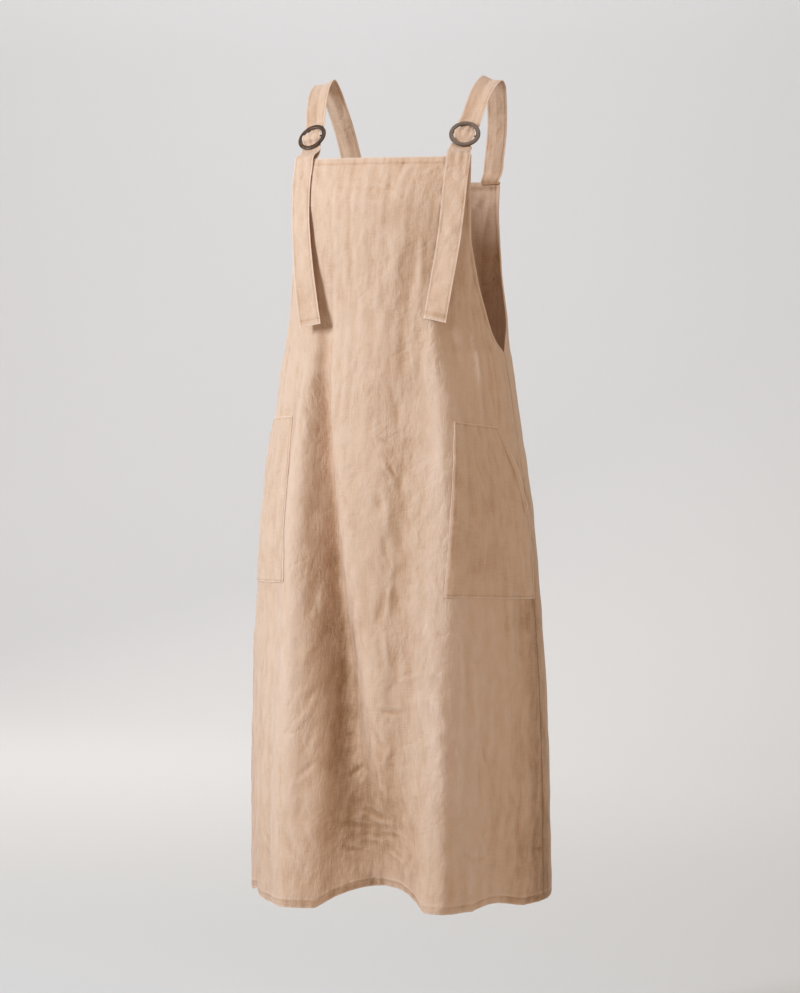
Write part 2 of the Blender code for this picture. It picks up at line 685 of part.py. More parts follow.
def build_slide(name, side, made):
    """A ring slide: a rounded band with the crossbar joined to it."""
    around = np.linspace(0.0, 2.0 * math.pi, RING_SIDES, endpoint=False)[:, None]
    section = np.linspace(0.0, 2.0 * math.pi, ROD_SIDES, endpoint=False)[None, :]
    radius = RING_RADIUS + RING_BAND * np.cos(section)
    face = RING_DEPTH * np.sin(section) + 0.0 * around
    points = in_ring(side, radius * np.cos(around), radius * np.sin(around), face)
    rings, count = points.shape[:2]
    index = np.arange(rings * count).reshape(rings, count)
    next_ring = np.roll(index, -1, axis=0)
    corner = [index, next_ring, np.roll(next_ring, -1, axis=1), np.roll(index, -1, axis=1)]
    slide = solid_object(name, points.reshape(-1, 3), np.stack(corner, axis=-1).reshape(-1, 4).tolist(), made)
    bar = rod(f"{name}_bar", side, BAR_RADIUS, RING_RADIUS, made)
    boolean(slide, bar, "UNION")


def main():
    """Builds the dress: two panels, two pockets, two straps, two tabs and two ring slides."""
    for thing in list(bpy.data.objects):
        bpy.data.objects.remove(thing, do_unlink=True)
    linen = material("washed_linen", (0.72, 0.51, 0.37), 0.9)
    horn = material("slide_horn", (0.12, 0.07, 0.05), 0.4)
    build_panel("front_panel", FRONT, linen)
    build_panel("back_panel", BACK, linen)
    for label, side in (("left", 1.0), ("right", -1.0)):
        build_pocket(f"pocket_{label}", side, POCKETS[label], linen)
        build_slide(f"slide_{label}", side, horn)
        build_tab(f"tab_{label}", side, linen)
        build_strap(f"strap_{label}", side, LOOSE_END[label], linen)


if __name__ == "__main__":
    main()
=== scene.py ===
"""Finish of a washed-linen pinafore dress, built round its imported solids.

Metres, +Z up. The front faces -Y, the wearer's left is +X, and the origin is the middle of the
shoulder line. `drop` is a depth below that line. A body angle goes round the dress in degrees: 0 at the
middle of the front, 90 at the wearer's left, 180 at the middle of the back.

Every panel is one function of two parameters, `turn` across it and `drop` down it. The cloth's creases
are a relief over body angle and drop, and all that is sewn to a panel is made from the panel's points.
A pair named `..._drops` says where something starts and how much further down it is full.
"""

import logging
import math
from dataclasses import dataclass, field
from enum import Enum

import bpy
import numpy as np
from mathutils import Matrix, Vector


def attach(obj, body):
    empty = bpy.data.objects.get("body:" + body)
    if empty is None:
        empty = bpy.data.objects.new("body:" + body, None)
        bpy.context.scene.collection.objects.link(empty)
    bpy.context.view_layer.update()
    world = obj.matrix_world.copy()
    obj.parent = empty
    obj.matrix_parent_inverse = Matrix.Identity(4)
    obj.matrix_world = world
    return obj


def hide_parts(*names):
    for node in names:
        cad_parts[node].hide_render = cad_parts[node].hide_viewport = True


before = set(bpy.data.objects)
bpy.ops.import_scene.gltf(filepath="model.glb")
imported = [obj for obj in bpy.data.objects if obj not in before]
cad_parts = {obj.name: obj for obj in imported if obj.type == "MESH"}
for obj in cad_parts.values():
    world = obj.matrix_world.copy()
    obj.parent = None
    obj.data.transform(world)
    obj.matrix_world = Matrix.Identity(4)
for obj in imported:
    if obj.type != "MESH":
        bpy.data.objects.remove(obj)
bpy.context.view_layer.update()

Array = np.ndarray
Pair = tuple[float, float]
Triple = tuple[float, float, float]
Material = bpy.types.Material
Thing = bpy.types.Object
Tree = bpy.types.NodeTree
Socket = bpy.types.NodeSocket
log = logging.getLogger("pinafore")

BODY = "root"
UV_NAME = "cloth"  # UV map of every cloth piece, in metres along the weft and the warp
WEAR_AND_SHADE_NAME = "wear_and_shade"  # how each point is rubbed and painted: above 0 paler, rubbed pale and in places painted light; below 0 darker, painted shade
SHARP_ANGLE = 62.0  # degrees between two faces from which their edge is drawn sharp

# ---------------------------------------------------------------- sizes of the dress, in metres

HEM_DROP = 1.132
ARMHOLE_DROP = 0.377  # foot of the armholes, where the side seams start
BIB_DROP = 0.111
BACK_DROP = 0.138
SKIRT_TILT = 0.001  # how far the skirt is lifted at the wearer's left and lowered at the right
SIDE_DROOP = 0.0045  # how far it hangs down at both side seams
SKIRT_SET = 0.62  # drop at which tilt and droop are full
BIB_LIFT = 0.003  # how far the bib's corners are drawn up
BIB_LIFT_REACH = 0.2  # from the armholes' foot up to where that is full
VALLEY_LIFT = 0.030  # how far a deep fold draws the hem up
VALLEY_FULL = 0.025  # depth of fold that draws it up by two thirds of that
FOLD_TOP = 0.44
FOLD_SET = 0.50
FOLD_MID = 0.80
FOLD_LEAD = 0.05  # a fold's depths are given from this far above its start
SEAM_TURN = 0.99935  # turn at which a panel ends
SEAM_GAP = 0.0003  # between two pieces of cloth
STEP = 1e-4  # step for slopes of a surface

LINEN = 0.0009  # one layer of washed linen with its slubs
TURNED = 0.0019  # two layers, at every turned edge
HEM_BAND = 0.0095  # height of the stitched hem
EDGE_BAND = 0.0085  # height of the turned top edges
ARM_BAND = 0.0062  # width of the narrow armhole edge
HEM_CURL = 0.0016  # how far the foot of the hem rolls in
CURL_REACH = 0.013  # height over which it does
SEAM_DIP = 0.0011  # depth of the furrow along a side seam
SEAM_REACH = 0.0016  # half of its width

STITCH = 0.0027  # length of one stitch
STITCH_PITCH = 0.0033  # from one stitch to the next
THREAD = 0.00036  # radius of the thread where it lies on the cloth
RIM_LINE = 0.0014  # line of stitches close to a rim

RIM_WEAR = 0.60  # how pale a rim is rubbed
RIM_WIDTH = 0.0017
LINE_SHADE = 0.36  # how much painted shade lies along a line of stitches
LINE_WIDTH = 0.0012


class Side(Enum):
    """A side of the wearer, as the sign of its x."""

    LEFT = 1.0
    RIGHT = -1.0

    @property
    def label(self) -> str:
        """The side's name in lower case, as the nodes have it."""
        return self.name.lower()


@dataclass(frozen=True)
class Section:
    """One level of a panel: where its edge and its middle are, and how far it wraps round."""

    drop: float
    edge_x: float
    edge_y: float
    middle_y: float
    wrap: float


FRONT_SECTIONS = (
    #        drop   edge_x  edge_y  middle_y  wrap
    Section(0.111, 0.1280, -0.067, -0.0950, 50.0),
    Section(0.147, 0.1298, -0.074, -0.1200, 54.0),
    Section(0.184, 0.1310, -0.078, -0.1320, 58.0),
    Section(0.222, 0.1310, -0.077, -0.1350, 62.0),
    Section(0.250, 0.1330, -0.069, -0.1360, 66.0),
    Section(0.288, 0.1380, -0.062, -0.1370, 70.0),
    Section(0.313, 0.1425, -0.054, -0.1390, 74.0),
    Section(0.341, 0.1480, -0.046, -0.1410, 78.0),
    Section(0.362, 0.1530, -0.035, -0.1440, 83.0),
    Section(0.377, 0.1575, -0.012, -0.1460, 90.0),
    Section(0.475, 0.1725, -0.013, -0.1560, 90.0),
    Section(0.586, 0.1880, -0.014, -0.1680, 90.0),
    Section(0.726, 0.1990, -0.014, -0.1780, 90.0),
    Section(0.866, 0.2065, -0.014, -0.1860, 90.0),
    Section(1.006, 0.2095, -0.013, -0.1950, 90.0),
    Section(1.150, 0.2105, -0.012, -0.2000, 90.0),
)

BACK_SECTIONS = (
    #        drop   edge_x  edge_y  middle_y  wrap
    Section(0.138, 0.1155, 0.096, 0.1080, 40.0),
    Section(0.178, 0.1160, 0.090, 0.1150, 46.0),
    Section(0.218, 0.1190, 0.086, 0.1200, 53.0),
    Section(0.243, 0.1215, 0.083, 0.1230, 57.0),
    Section(0.278, 0.1270, 0.074, 0.1260, 63.0),
    Section(0.318, 0.1370, 0.058, 0.1300, 72.0),
    Section(0.341, 0.1445, 0.041, 0.1320, 78.0),
    Section(0.358, 0.1510, 0.017, 0.1340, 84.0),
    Section(0.377, 0.1575, -0.012, 0.1360, 90.0),
    Section(0.475, 0.1725, -0.013, 0.1500, 90.0),
    Section(0.586, 0.1880, -0.014, 0.1700, 90.0),
    Section(0.726, 0.1990, -0.014, 0.1800, 90.0),
    Section(0.866, 0.2065, -0.014, 0.1880, 90.0),
    Section(1.006, 0.2095, -0.013, 0.1960, 90.0),
    Section(1.150, 0.2105, -0.012, 0.2020, 90.0),
)


@dataclass(frozen=True)
class Fold:
    """One large fold of the skirt, by its body angles (degrees), spreads, start and depths."""

    name: str
    angle_top: float
    angle_mid: float
    angle_hem: float
    spread_top: float
    spread_hem: float
    start: float
    depth_set: float
    depth_mid: float
    depth_hem: float


FOLDS = (
    #    name             top   mid   hem  spread    start  depth set, mid, hem
    Fold("front_lobe_r", -32.0, -28.0, -26.0, 6.5, 9.5, 0.30, 0.008, 0.015, 0.017),
    Fold("front_valley", -24.0, -8.5, 5.0, 5.2, 12.5, 0.24, -0.027, -0.046, -0.048),
    Fold("front_swell", 2.0, 9.0, 10.0, 8.0, 8.5, 0.30, 0.002, 0.000, -0.002),
    Fold("front_dip", 22.0, 17.0, 18.0, 6.0, 9.0, 0.30, -0.004, -0.005, -0.026),
    Fold("front_lobe_l", 38.5, 35.0, 34.0, 6.8, 8.5, 0.27, 0.014, 0.016, 0.018),
    Fold("left_hollow", 58.0, 58.0, 60.0, 8.0, 10.0, 0.50, 0.000, -0.003, -0.007),
    Fold("left_ridge", 90.0, 96.0, 101.0, 14.0, 16.0, 0.36, 0.002, 0.005, 0.008),
    Fold("left_back_valley", 127.0, 128.0, 130.0, 8.0, 11.0, 0.44, -0.003, -0.009, -0.018),
    Fold("back_lobe_l", 147.0, 149.0, 151.0, 9.0, 12.0, 0.38, 0.004, 0.009, 0.014),
    Fold("back_valley", 168.0, 174.0, 179.0, 8.0, 12.0, 0.36, -0.009, -0.026, -0.040),
    Fold("back_lobe_r", 203.0, 206.0, 208.0, 10.0, 13.0, 0.38, 0.004, 0.010, 0.012),
    Fold("right_back_valley", 234.0, 238.0, 240.0, 8.0, 12.0, 0.46, -0.002, -0.010, -0.024),
    Fold("right_ridge", 262.0, 262.0, 260.0, 9.0, 12.0, 0.52, 0.000, 0.003, 0.008),
    Fold("right_hollow", 292.0, 294.0, 298.0, 8.0, 10.0, 0.54, 0.000, -0.002, -0.008),
)

# ---------------------------------------------------------------- small tools


def linear(code: str) -> tuple[float, float, float, float]:
    """Turns an sRGB hex colour into linear RGBA."""
    parts = [int(code[start : start + 2], 16) / 255.0 for start in (1, 3, 5)]
    red, green, blue = (
        part / 12.92 if part <= 0.04045 else ((part + 0.055) / 1.055) ** 2.4 for part in parts
    )
    return red, green, blue, 1.0


def ease(value: Array) -> Array:
    """Rises smoothly from 0 to 1 as the value does, and stays there."""
    part = np.clip(value, 0.0, 1.0)
    return part * part * (3.0 - 2.0 * part)


def rising(value: Array, start: float, reach: float) -> Array:
    """0 up to a start, 1 from a reach beyond it, and smooth between the two."""
    return ease((value - start) / reach)


def bell(value: Array, centre: float = 0.0, width: float = 1.0) -> Array:
    """The bell curve exp(-t squared), for t = (value - centre) / width."""
    return np.exp(-(((value - centre) / width) ** 2))


def unit(vectors: Array) -> Array:
    """The vectors at length 1, along the last axis."""
    return vectors / np.linalg.norm(vectors, axis=-1, keepdims=True)


def running_length(path: Array) -> Array:
    """Length along rows of points up to each of them, from 0."""
    steps = np.linalg.norm(np.diff(path, axis=-2), axis=-1)
    return np.cumsum(np.concatenate([np.zeros_like(steps[..., :1]), steps], axis=-1), axis=-1)


def flat_map(across: Array, along: Array) -> Array:
    """UV of a grid of cloth, from metres across it and metres along it."""
    return np.stack(np.broadcast_arrays(across, along), axis=-1)


def hermite(part: Array, span: Array, ends: tuple[Array, Array], slopes: tuple[Array, Array]) -> Array:
    """The cubic Hermite curve over a span."""
    start = (2 * part**3 - 3 * part**2 + 1) * ends[0] + (part**3 - 2 * part**2 + part) * span * slopes[0]
    return start + (3 * part**2 - 2 * part**3) * ends[1] + (part**3 - part**2) * span * slopes[1]


def smooth_column(drop: Array, knots: Array, values: Array) -> Array:
    """A cubic through a table's column that never overshoots its rows.

    The slope at a row is the harmonic mean of the slopes on its two sides, or 0 where they differ in
    sign, and each span is the cubic Hermite curve with those slopes.

    Args:
        drop: where to read the column.
        knots: the rows' drops, rising.
        values: the column's values at the rows.

    Returns:
        The value at each drop.
    """
    knots = np.asarray(knots, dtype=float)
    values = np.asarray(values, dtype=float)
    rise = np.diff(values) / np.diff(knots)
    same_way = rise[:-1] * rise[1:] > 0.0
    total = np.where(same_way, rise[:-1] + rise[1:], 1.0)
    inner = np.where(same_way, 2.0 * rise[:-1] * rise[1:] / total, 0.0)
    slopes = np.concatenate([rise[:1], inner, rise[-1:]])
    inside = np.clip(drop, knots[0], knots[-1])
    row = np.clip(np.searchsorted(knots, inside) - 1, 0, len(knots) - 2)
    span = knots[row + 1] - knots[row]
    ends = (values[row], values[row + 1])
    return hermite((inside - knots[row]) / span, span, ends, (slopes[row], slopes[row + 1]))


def blurred(values: Array, cells: Pair) -> Array:
    """A field that repeats at its borders, blurred: multiplied, in frequency, by a bell."""
    along = np.fft.fftfreq(values.shape[0])[:, None] * cells[0]
    across = np.fft.rfftfreq(values.shape[1])[None, :] * cells[1]
    return np.fft.irfft2(np.fft.rfft2(values) * bell(1.6 * np.hypot(along, across)), s=values.shape)


def soft_noise(rng: np.random.Generator, shape: tuple[int, int], cells: Pair) -> Array:
    """Smooth random field: blurred white noise."""
    humps = blurred(rng.standard_normal(shape), cells)
    humps -= humps.mean()
    return humps / humps.std()


# ---------------------------------------------------------------- relief of the cloth


@dataclass(frozen=True)
class Crease:
    """One soft trough (depth below 0) or ridge in the cloth, in degrees and millimetres.

    `heading` is the crease's direction from straight down, positive towards growing body angles, and
    `bend` is how much it curves over its length.
    """

    angle: float
    drop: float
    length: float
    width: float
    depth: float
    heading: float
    bend: float = 0.0


def creases(*rows: tuple[float, ...]) -> tuple[Crease, ...]:
    """The creases of a table, one from each row."""
    return tuple(Crease(*row) for row in rows)


FRONT_CREASES = creases(
    # angle, drop, length, width, depth, heading, bend
    # drags from the wearer's left strap into the bib's corner
    (33, 128, 36, 2.6, -0.75, -52, 12),
    (37, 136, 34, 2.4, 0.6, -46, 10),
    (30, 123, 30, 3, -0.45, -62),
    (40, 150, 40, 3.2, -0.6, -32, 8),
    (26, 133, 40, 3.6, 0.4, -60, -10),
    # the same, weaker, at the wearer's right
    (-33, 130, 30, 3, -0.45, 50),
    (-28, 126, 30, 3, 0.4, 58),
    # crumple under the bib's top edge
    (6, 150, 30, 2.4, 0.4, 76, 20),
    (11, 153, 24, 2.2, -0.45, 62, -15),
    (-1, 156, 34, 3, -0.3, 96, 20),
    (-9, 148, 30, 2.8, 0.3, 82),
    (2, 172, 40, 3.6, 0.3, 70),
    (16, 168, 36, 3, 0.35, 48, 15),
    # drags from the wearer's left strap down to the middle
    (17, 252, 110, 11, 1.9, -16, 10),
    (24.5, 298, 150, 8.5, -2, -9, 8),
    (36.5, 350, 220, 12, 3, -4, 3),
    (43, 600, 480, 16, 3.8, -1),
    (29.5, 275, 130, 8, 1.2, -7),
    (21, 372, 100, 9, -1.8, -3, -8),
    (11, 335, 120, 11, 1, -10),
    (6, 270, 90, 8, -0.7, -8, 6),
    (-21, 285, 130, 12, 1.3, 14, -8),
    (-9, 262, 80, 7, -0.8, 5),
    (-4, 330, 110, 8, -0.6, 2),
    # drags from the wearer's left armhole to the pocket
    (60.5, 395, 190, 4.2, 2, -1, -3),
    (64, 390, 170, 5, -0.9, -1, -3),
    (71.5, 400, 170, 4.2, 2, 1, -3),
    (75, 405, 150, 5, -1.5, 2, -3),
    (53, 350, 120, 8, 0.8, -6, 4),
    (80, 420, 120, 5, 0.9, 4),
    # the same at the wearer's right
    (-60, 400, 180, 5, 1.1, 2, 3),
    (-66, 395, 150, 5, -0.9, 1, 3),
    (-73, 410, 160, 4.5, 1.1, -2),
    # broken-up hollow down the middle of the skirt
    (17, 455, 110, 7, -1.6, 4, -14),
    (11, 497, 24, 2.4, -0.85, 68, 20),
    (9, 520, 50, 6, 0.8, 12),
    (12.5, 535, 34, 2.2, 1.05, 28, 22),
    (15, 540, 30, 2.2, -0.95, 34, 22),
    (18.5, 552, 50, 5, -1.2, -6, 10),
    (9.5, 583, 40, 6, -0.8, 10, 20),
    (13, 600, 60, 5, 0.9, -4, -14),
    (18, 628, 70, 6, -1.1, 3, 12),
    (12, 640, 50, 5, -1, 12),
    (15, 672, 40, 4.5, 1.1, -12, -16),
    (13.5, 706, 60, 3, 1.35, -7, 16),
    (17, 710, 50, 5, -0.6, 6, 12),
    (10, 728, 44, 5, -0.9, -14),
    (12.5, 775, 70, 5, 0.9, 8, -12),
    (16.5, 800, 80, 6, -1, -3, 10),
    (14, 863, 40, 2.2, -1, 84, 10),
    (17.5, 856, 26, 2.4, 0.55, 88),
    (9, 902, 50, 5, -0.8, 30, 20),
    (13, 925, 44, 4, 0.7, -24),
    # creases down the flank of the wearer's right lobe
    (-24, 600, 120, 6, -0.9, 3, 5),
    (-21, 705, 90, 5, -1, -3, -8),
    (-22, 795, 60, 4.2, 0.8, -8, 12),
    (-19.5, 846, 40, 3.2, -0.95, -18, 14),
    (-21.5, 876, 36, 3.6, 0.8, -24, 10),
    (-18.5, 905, 44, 3, -0.95, -14, -12),
    (-19.5, 945, 48, 2.8, -1.05, -38, 16),
    (-22, 960, 40, 3.4, 0.7, -34),
    (-21, 1000, 50, 4.2, -0.8, -20, 14),
    (-17, 1030, 50, 5, 0.8, 12),
    (-23, 1050, 50, 5, -0.8, 26, 20),
    # left flank and floor of the front valley near the hem
    (-9, 930, 440, 17, -4.8, 2),
    (-9, 1100, 260, 17, -4, 0),
    (-3, 958, 36, 3.4, -1.35, -42, 14),
    (0.5, 968, 34, 3.6, 0.9, -38),
    (-4.5, 990, 40, 4, 0.7, -20),
    (4, 1020, 60, 4.2, -0.7, 84, -14),
    (10, 1032, 70, 5, 0.75, 92, 14),
    (-1, 1043, 56, 4.2, -0.8, 76, 20),
    (14, 1050, 60, 4.4, -0.65, 96, -16),
    (5, 1062, 52, 4, 0.65, 88),
    (-3, 1076, 36, 3.4, -0.7, 66, 24),
    (17, 1082, 40, 4, 0.5, 70),
    # the wearer's left, in the shade
    (69, 740, 260, 9, 1.8, 1, 3),
    (77, 760, 240, 8, -1.7, 0, 3),
    (45, 800, 150, 6, -0.9, 2, -6),
    (49, 860, 120, 5, 0.8, 3, 6),
    (53.5, 922, 44, 3.2, -1.15, 12, 10),
    (51, 965, 90, 5, -0.8, 6, 6),
    (57, 900, 140, 6, 0.85, 0),
    (62, 980, 120, 6, -0.8, -4, 8),
    (41, 930, 60, 4.4, 0.7, 16),
    (52, 1045, 60, 4, 0.7, 20, 12),
    (47, 1060, 50, 4.4, -0.65, 62),
    (86, 1058, 34, 3, -0.8, 82),
    (72, 1010, 90, 6, -0.7, -12),
)

BACK_CREASES = creases(
    # angle, drop, length, width, depth, heading, bend
    # drags from the two strap ends
    (147, 175, 60, 5, 1, 24, 12),
    (151, 170, 50, 4.4, -0.9, 30, 12),
    (141, 190, 70, 5, -0.8, 8),
    (213, 172, 60, 5, 0.95, -26, -10),
    (208, 176, 50, 4.6, -0.9, -32, -12),
    (219, 192, 70, 5, -0.8, -6),
    # hatched crumple inside the wearer's left armhole
    (128, 230, 36, 2.6, 0.8, 34, 10),
    (130, 246, 34, 2.6, -0.8, 40, -10),
    (126, 258, 38, 2.8, 0.85, 30),
    (129, 272, 36, 2.6, -0.85, 44, 12),
    (124, 286, 38, 2.6, 0.8, 34),
    (127, 300, 34, 2.6, -0.8, 40),
    (121, 314, 36, 2.8, 0.8, 30, 10),
    (124, 330, 34, 2.6, -0.75, 36),
    # drags from the armholes
    (112, 410, 170, 5, 1.2, 6, 4),
    (117, 420, 150, 5, -1, 8),
    (103, 430, 140, 5, -0.9, 3),
    (246, 415, 170, 5.5, 1.2, -6, -4),
    (241, 425, 150, 5, -1, -8),
    (256, 430, 140, 5, -0.9, -3),
    # across the shoulder blades and down the middle
    (176, 235, 60, 5, -0.7, 84, 14),
    (186, 262, 70, 6, 0.8, 96, -12),
    (170, 300, 60, 5, -0.8, 70),
    (182, 360, 120, 9, 1.3, 4, 8),
    (190, 420, 130, 8, -1.3, -6, 8),
    (168, 440, 110, 7, -1.2, 5, -8),
    (160, 520, 130, 8, 1, 4),
    (183, 560, 70, 5, 0.9, 14, 12),
    (189, 590, 60, 4.4, -1, -12, 12),
    (179, 630, 36, 2.6, -0.9, 72, 16),
    (194, 660, 90, 6, -1.1, 2),
    (186, 700, 50, 4, 1, -16, 14),
    (180, 760, 44, 3, -0.95, 80, -14),
    (191, 800, 80, 5, 0.9, 8),
    (150, 720, 150, 8, -1.1, -3, 6),
    (157, 840, 60, 4, -0.95, 28, 12),
    (154, 880, 50, 3.8, 0.8, 34),
    (205, 760, 130, 7, 1.1, 3, -6),
    (214, 820, 120, 7, -1.1, -3),
    (210, 930, 50, 3.6, -1, -34, 14),
    (206, 950, 44, 3.6, 0.8, -40),
    (174, 940, 60, 4.4, -0.9, 40, 14),
    (183, 1010, 70, 4.4, 0.75, 88, 14),
    (176, 1036, 60, 4.2, -0.75, 80, -16),
    (188, 1060, 56, 4, 0.6, 96),
    (147, 1040, 70, 5, -0.75, 60, 20),
    (214, 1050, 60, 5, -0.75, -60, -18),
    (120, 640, 200, 8, 1.2, 2, 5),
    (108, 780, 200, 8, -1.2, 0, 4),
    (112, 950, 110, 6, 0.9, 6),
    (252, 680, 200, 8, 1.2, -2, 5),
    (268, 800, 180, 8, -1.1, 0),
    (262, 960, 110, 6, 0.9, -6),
    (286, 760, 220, 9, 1.4, 1),
    (278, 900, 180, 8, -1.2, 1, 4),
    (300, 880, 160, 7, -0.9, -2),
    (311, 820, 140, 6, 0.8, 2),
    (305, 1000, 70, 4.4, -0.8, 18, 10),
    (318, 1050, 60, 4.4, 0.7, 60),
)


@dataclass
class Relief:
    """Height of the creases over the whole body, kept on a map of body angle and drop.

    The map is the sum of the named creases, of crease lines that wander along the zero lines of slow
    random fields, and of low rolling waves that run down the cloth. A size is metres down and metres
    round the body.
    """

    top: float = 0.100
    foot: float = 1.180
    girth: float = 1.16  # metres round the body that the map's columns stand for
    columns: int = 1000
    rows: int = 840
    seed: int = 41
    wave_mm: float = 0.60
    wave_size: Pair = (0.300, 0.042)
    streak_mm: float = 0.34
    streak_size: Pair = (0.130, 0.014)
    crumple_mm: float = 0.28
    crumple_size: Pair = (0.022, 0.012)
    line_mm: float = 0.50
    line_width: float = 0.16  # as a share of the slow field's spread
    line_fields: tuple[Triple, ...] = ((0.110, 0.030, -1.0), (0.070, 0.045, 1.0), (0.150, 0.024, -1.0))
    patch_size: Pair = (0.060, 0.040)
    patch_level: float = 0.2
    bib_share: float = 0.25  # how much of the wandering lines is left on the bib
    skirt_drops: Pair = (0.30, 0.15)
    boldness: float = 1.45  # times every crease's depth
    fine_boldness: float = 2.2  # the same for the narrow ones
    fine_width_mm: float = 6.2
    least_width_mm: float = 3.0  # narrowest that the map's points can carry
    proud_size: Pair = (0.011, 0.009)
    proud_mm: float = 0.30  # height over its surroundings at which a point is rubbed well pale; a point as far below them gets painted shade as deep
    streak_wear: float = 0.22
    drops: Array = field(init=False)
    angles: Array = field(init=False)
    height: Array = field(init=False)  # in metres
    worn_and_shaded: Array = field(init=False)  # above 0 where the cloth stands proud and is rubbed pale, below 0 in its hollows, which get painted shade

    def __post_init__(self) -> None:
        """Fills the two maps: the height, and the paling of proud points and the painted shade of hollow
        ones.
        """
        self.drops = np.linspace(self.top, self.foot, self.rows)
        self.angles = np.arange(self.columns) * (360.0 / self.columns)
        rng = np.random.default_rng(self.seed)
        waves = self.wave_mm * self.noise(rng, self.wave_size)
        streaks = self.noise(rng, self.streak_size)
        crumple = self.crumple_mm * self.noise(rng, self.crumple_size)
        height = waves + self.streak_mm * streaks + crumple + self.wandering_lines(rng)
        for crease in (*FRONT_CREASES, *BACK_CREASES):
            self.press(height, crease)
        self.height = height / 1000.0
        # the second map pales proud points, puts painted shade in the hollows between them, and adds random
        # streaks of tone
        over = height - blurred(height, self.cells(self.proud_size))
        self.worn_and_shaded = np.tanh(over / self.proud_mm) + self.streak_wear * streaks

    def cells(self, size: Pair) -> Pair:
        """A size in numbers of the map's cells."""
        return size[0] * self.rows / (self.foot - self.top), size[1] * self.columns / self.girth

    def noise(self, rng: np.random.Generator, size: Pair) -> Array:
        """A soft random field over the map, with humps of a size."""
        return soft_noise(rng, (self.rows, self.columns), self.cells(size))

    @staticmethod
    def radius(drop: Array) -> Array:
        """Metres round the body for one radian of body angle, at a drop."""
        return 0.152 + 0.050 * rising(drop, 0.15, 0.75)

    def wandering_lines(self, rng: np.random.Generator) -> Array:
        """Crease lines: thin troughs or ridges where a slow field passes 0, broken up by another."""
        lines = np.zeros((self.rows, self.columns))
        for down, around, sign in self.line_fields:
            path = self.noise(rng, (down, around))
            here = ease(self.noise(rng, self.patch_size) - self.patch_level)
            lines += sign * self.line_mm * bell(path / self.line_width) * here
        skirt = rising(self.drops[:, None], *self.skirt_drops)
        return lines * (self.bib_share + (1.0 - self.bib_share) * skirt)

    def press(self, height: Array, crease: Crease) -> None:
        """Adds one crease to the map, in a window round it.

        In the crease's own directions, a along it and c across, the height is depth times a bell of
        (c - bend a^2) / width times (1 - (2a / length)^2)^2.

        Args:
            height: the map in millimetres, which this changes.
            crease: the crease.
        """
        level, length, width = (size / 1000.0 for size in (crease.drop, crease.length, crease.width))
        reach = length / 2 + 4 * width
        low, high = np.searchsorted(self.drops, (level - reach, level + reach))
        drop = self.drops[low:high, None]
        away = (self.angles[None, :] - crease.angle + 180.0) % 360.0 - 180.0
        sideways = np.radians(away) * self.radius(drop)
        near = np.abs(sideways).min(axis=0) < reach
        sideways = sideways[:, near]
        downward = drop - level
        heading = math.radians(crease.heading)
        along = sideways * math.sin(heading) + downward * math.cos(heading)
        across = sideways * math.cos(heading) - downward * math.sin(heading)
        across = across - math.radians(crease.bend) * along**2 / length
        shape = np.clip(1.0 - (2.0 * along / length) ** 2, 0.0, 1.0) ** 2
        bold = self.fine_boldness if crease.width < self.fine_width_mm else self.boldness
        profile = bell(across / max(width, self.least_width_mm / 1000.0))
        height[low:high, near] += bold * crease.depth * shape * profile

    def at(self, angle: Array, drop: Array, table: Array | None = None) -> Array:
        """A map's value at body angles and drops, read between its points.

        Args:
            angle: body angle in degrees.
            drop: drop in metres.
            table: the map, which is the height in metres if none is given.

        Returns:
            The values.
        """
        table = self.height if table is None else table
        column = (angle % 360.0) * (self.columns / 360.0)
        row = (drop - self.top) * ((self.rows - 1) / (self.foot - self.top))
        row = np.clip(row, 0.0, self.rows - 1.001)
        left = np.floor(column).astype(int)
        upper = np.floor(row).astype(int)
        across = column - left
        down = row - upper
        left %= self.columns
        right = (left + 1) % self.columns
        high = table[upper, left] * (1 - across) + table[upper, right] * across
        low = table[upper + 1, left] * (1 - across) + table[upper + 1, right] * across
        return high * (1 - down) + low * down


# ---------------------------------------------------------------- body panels


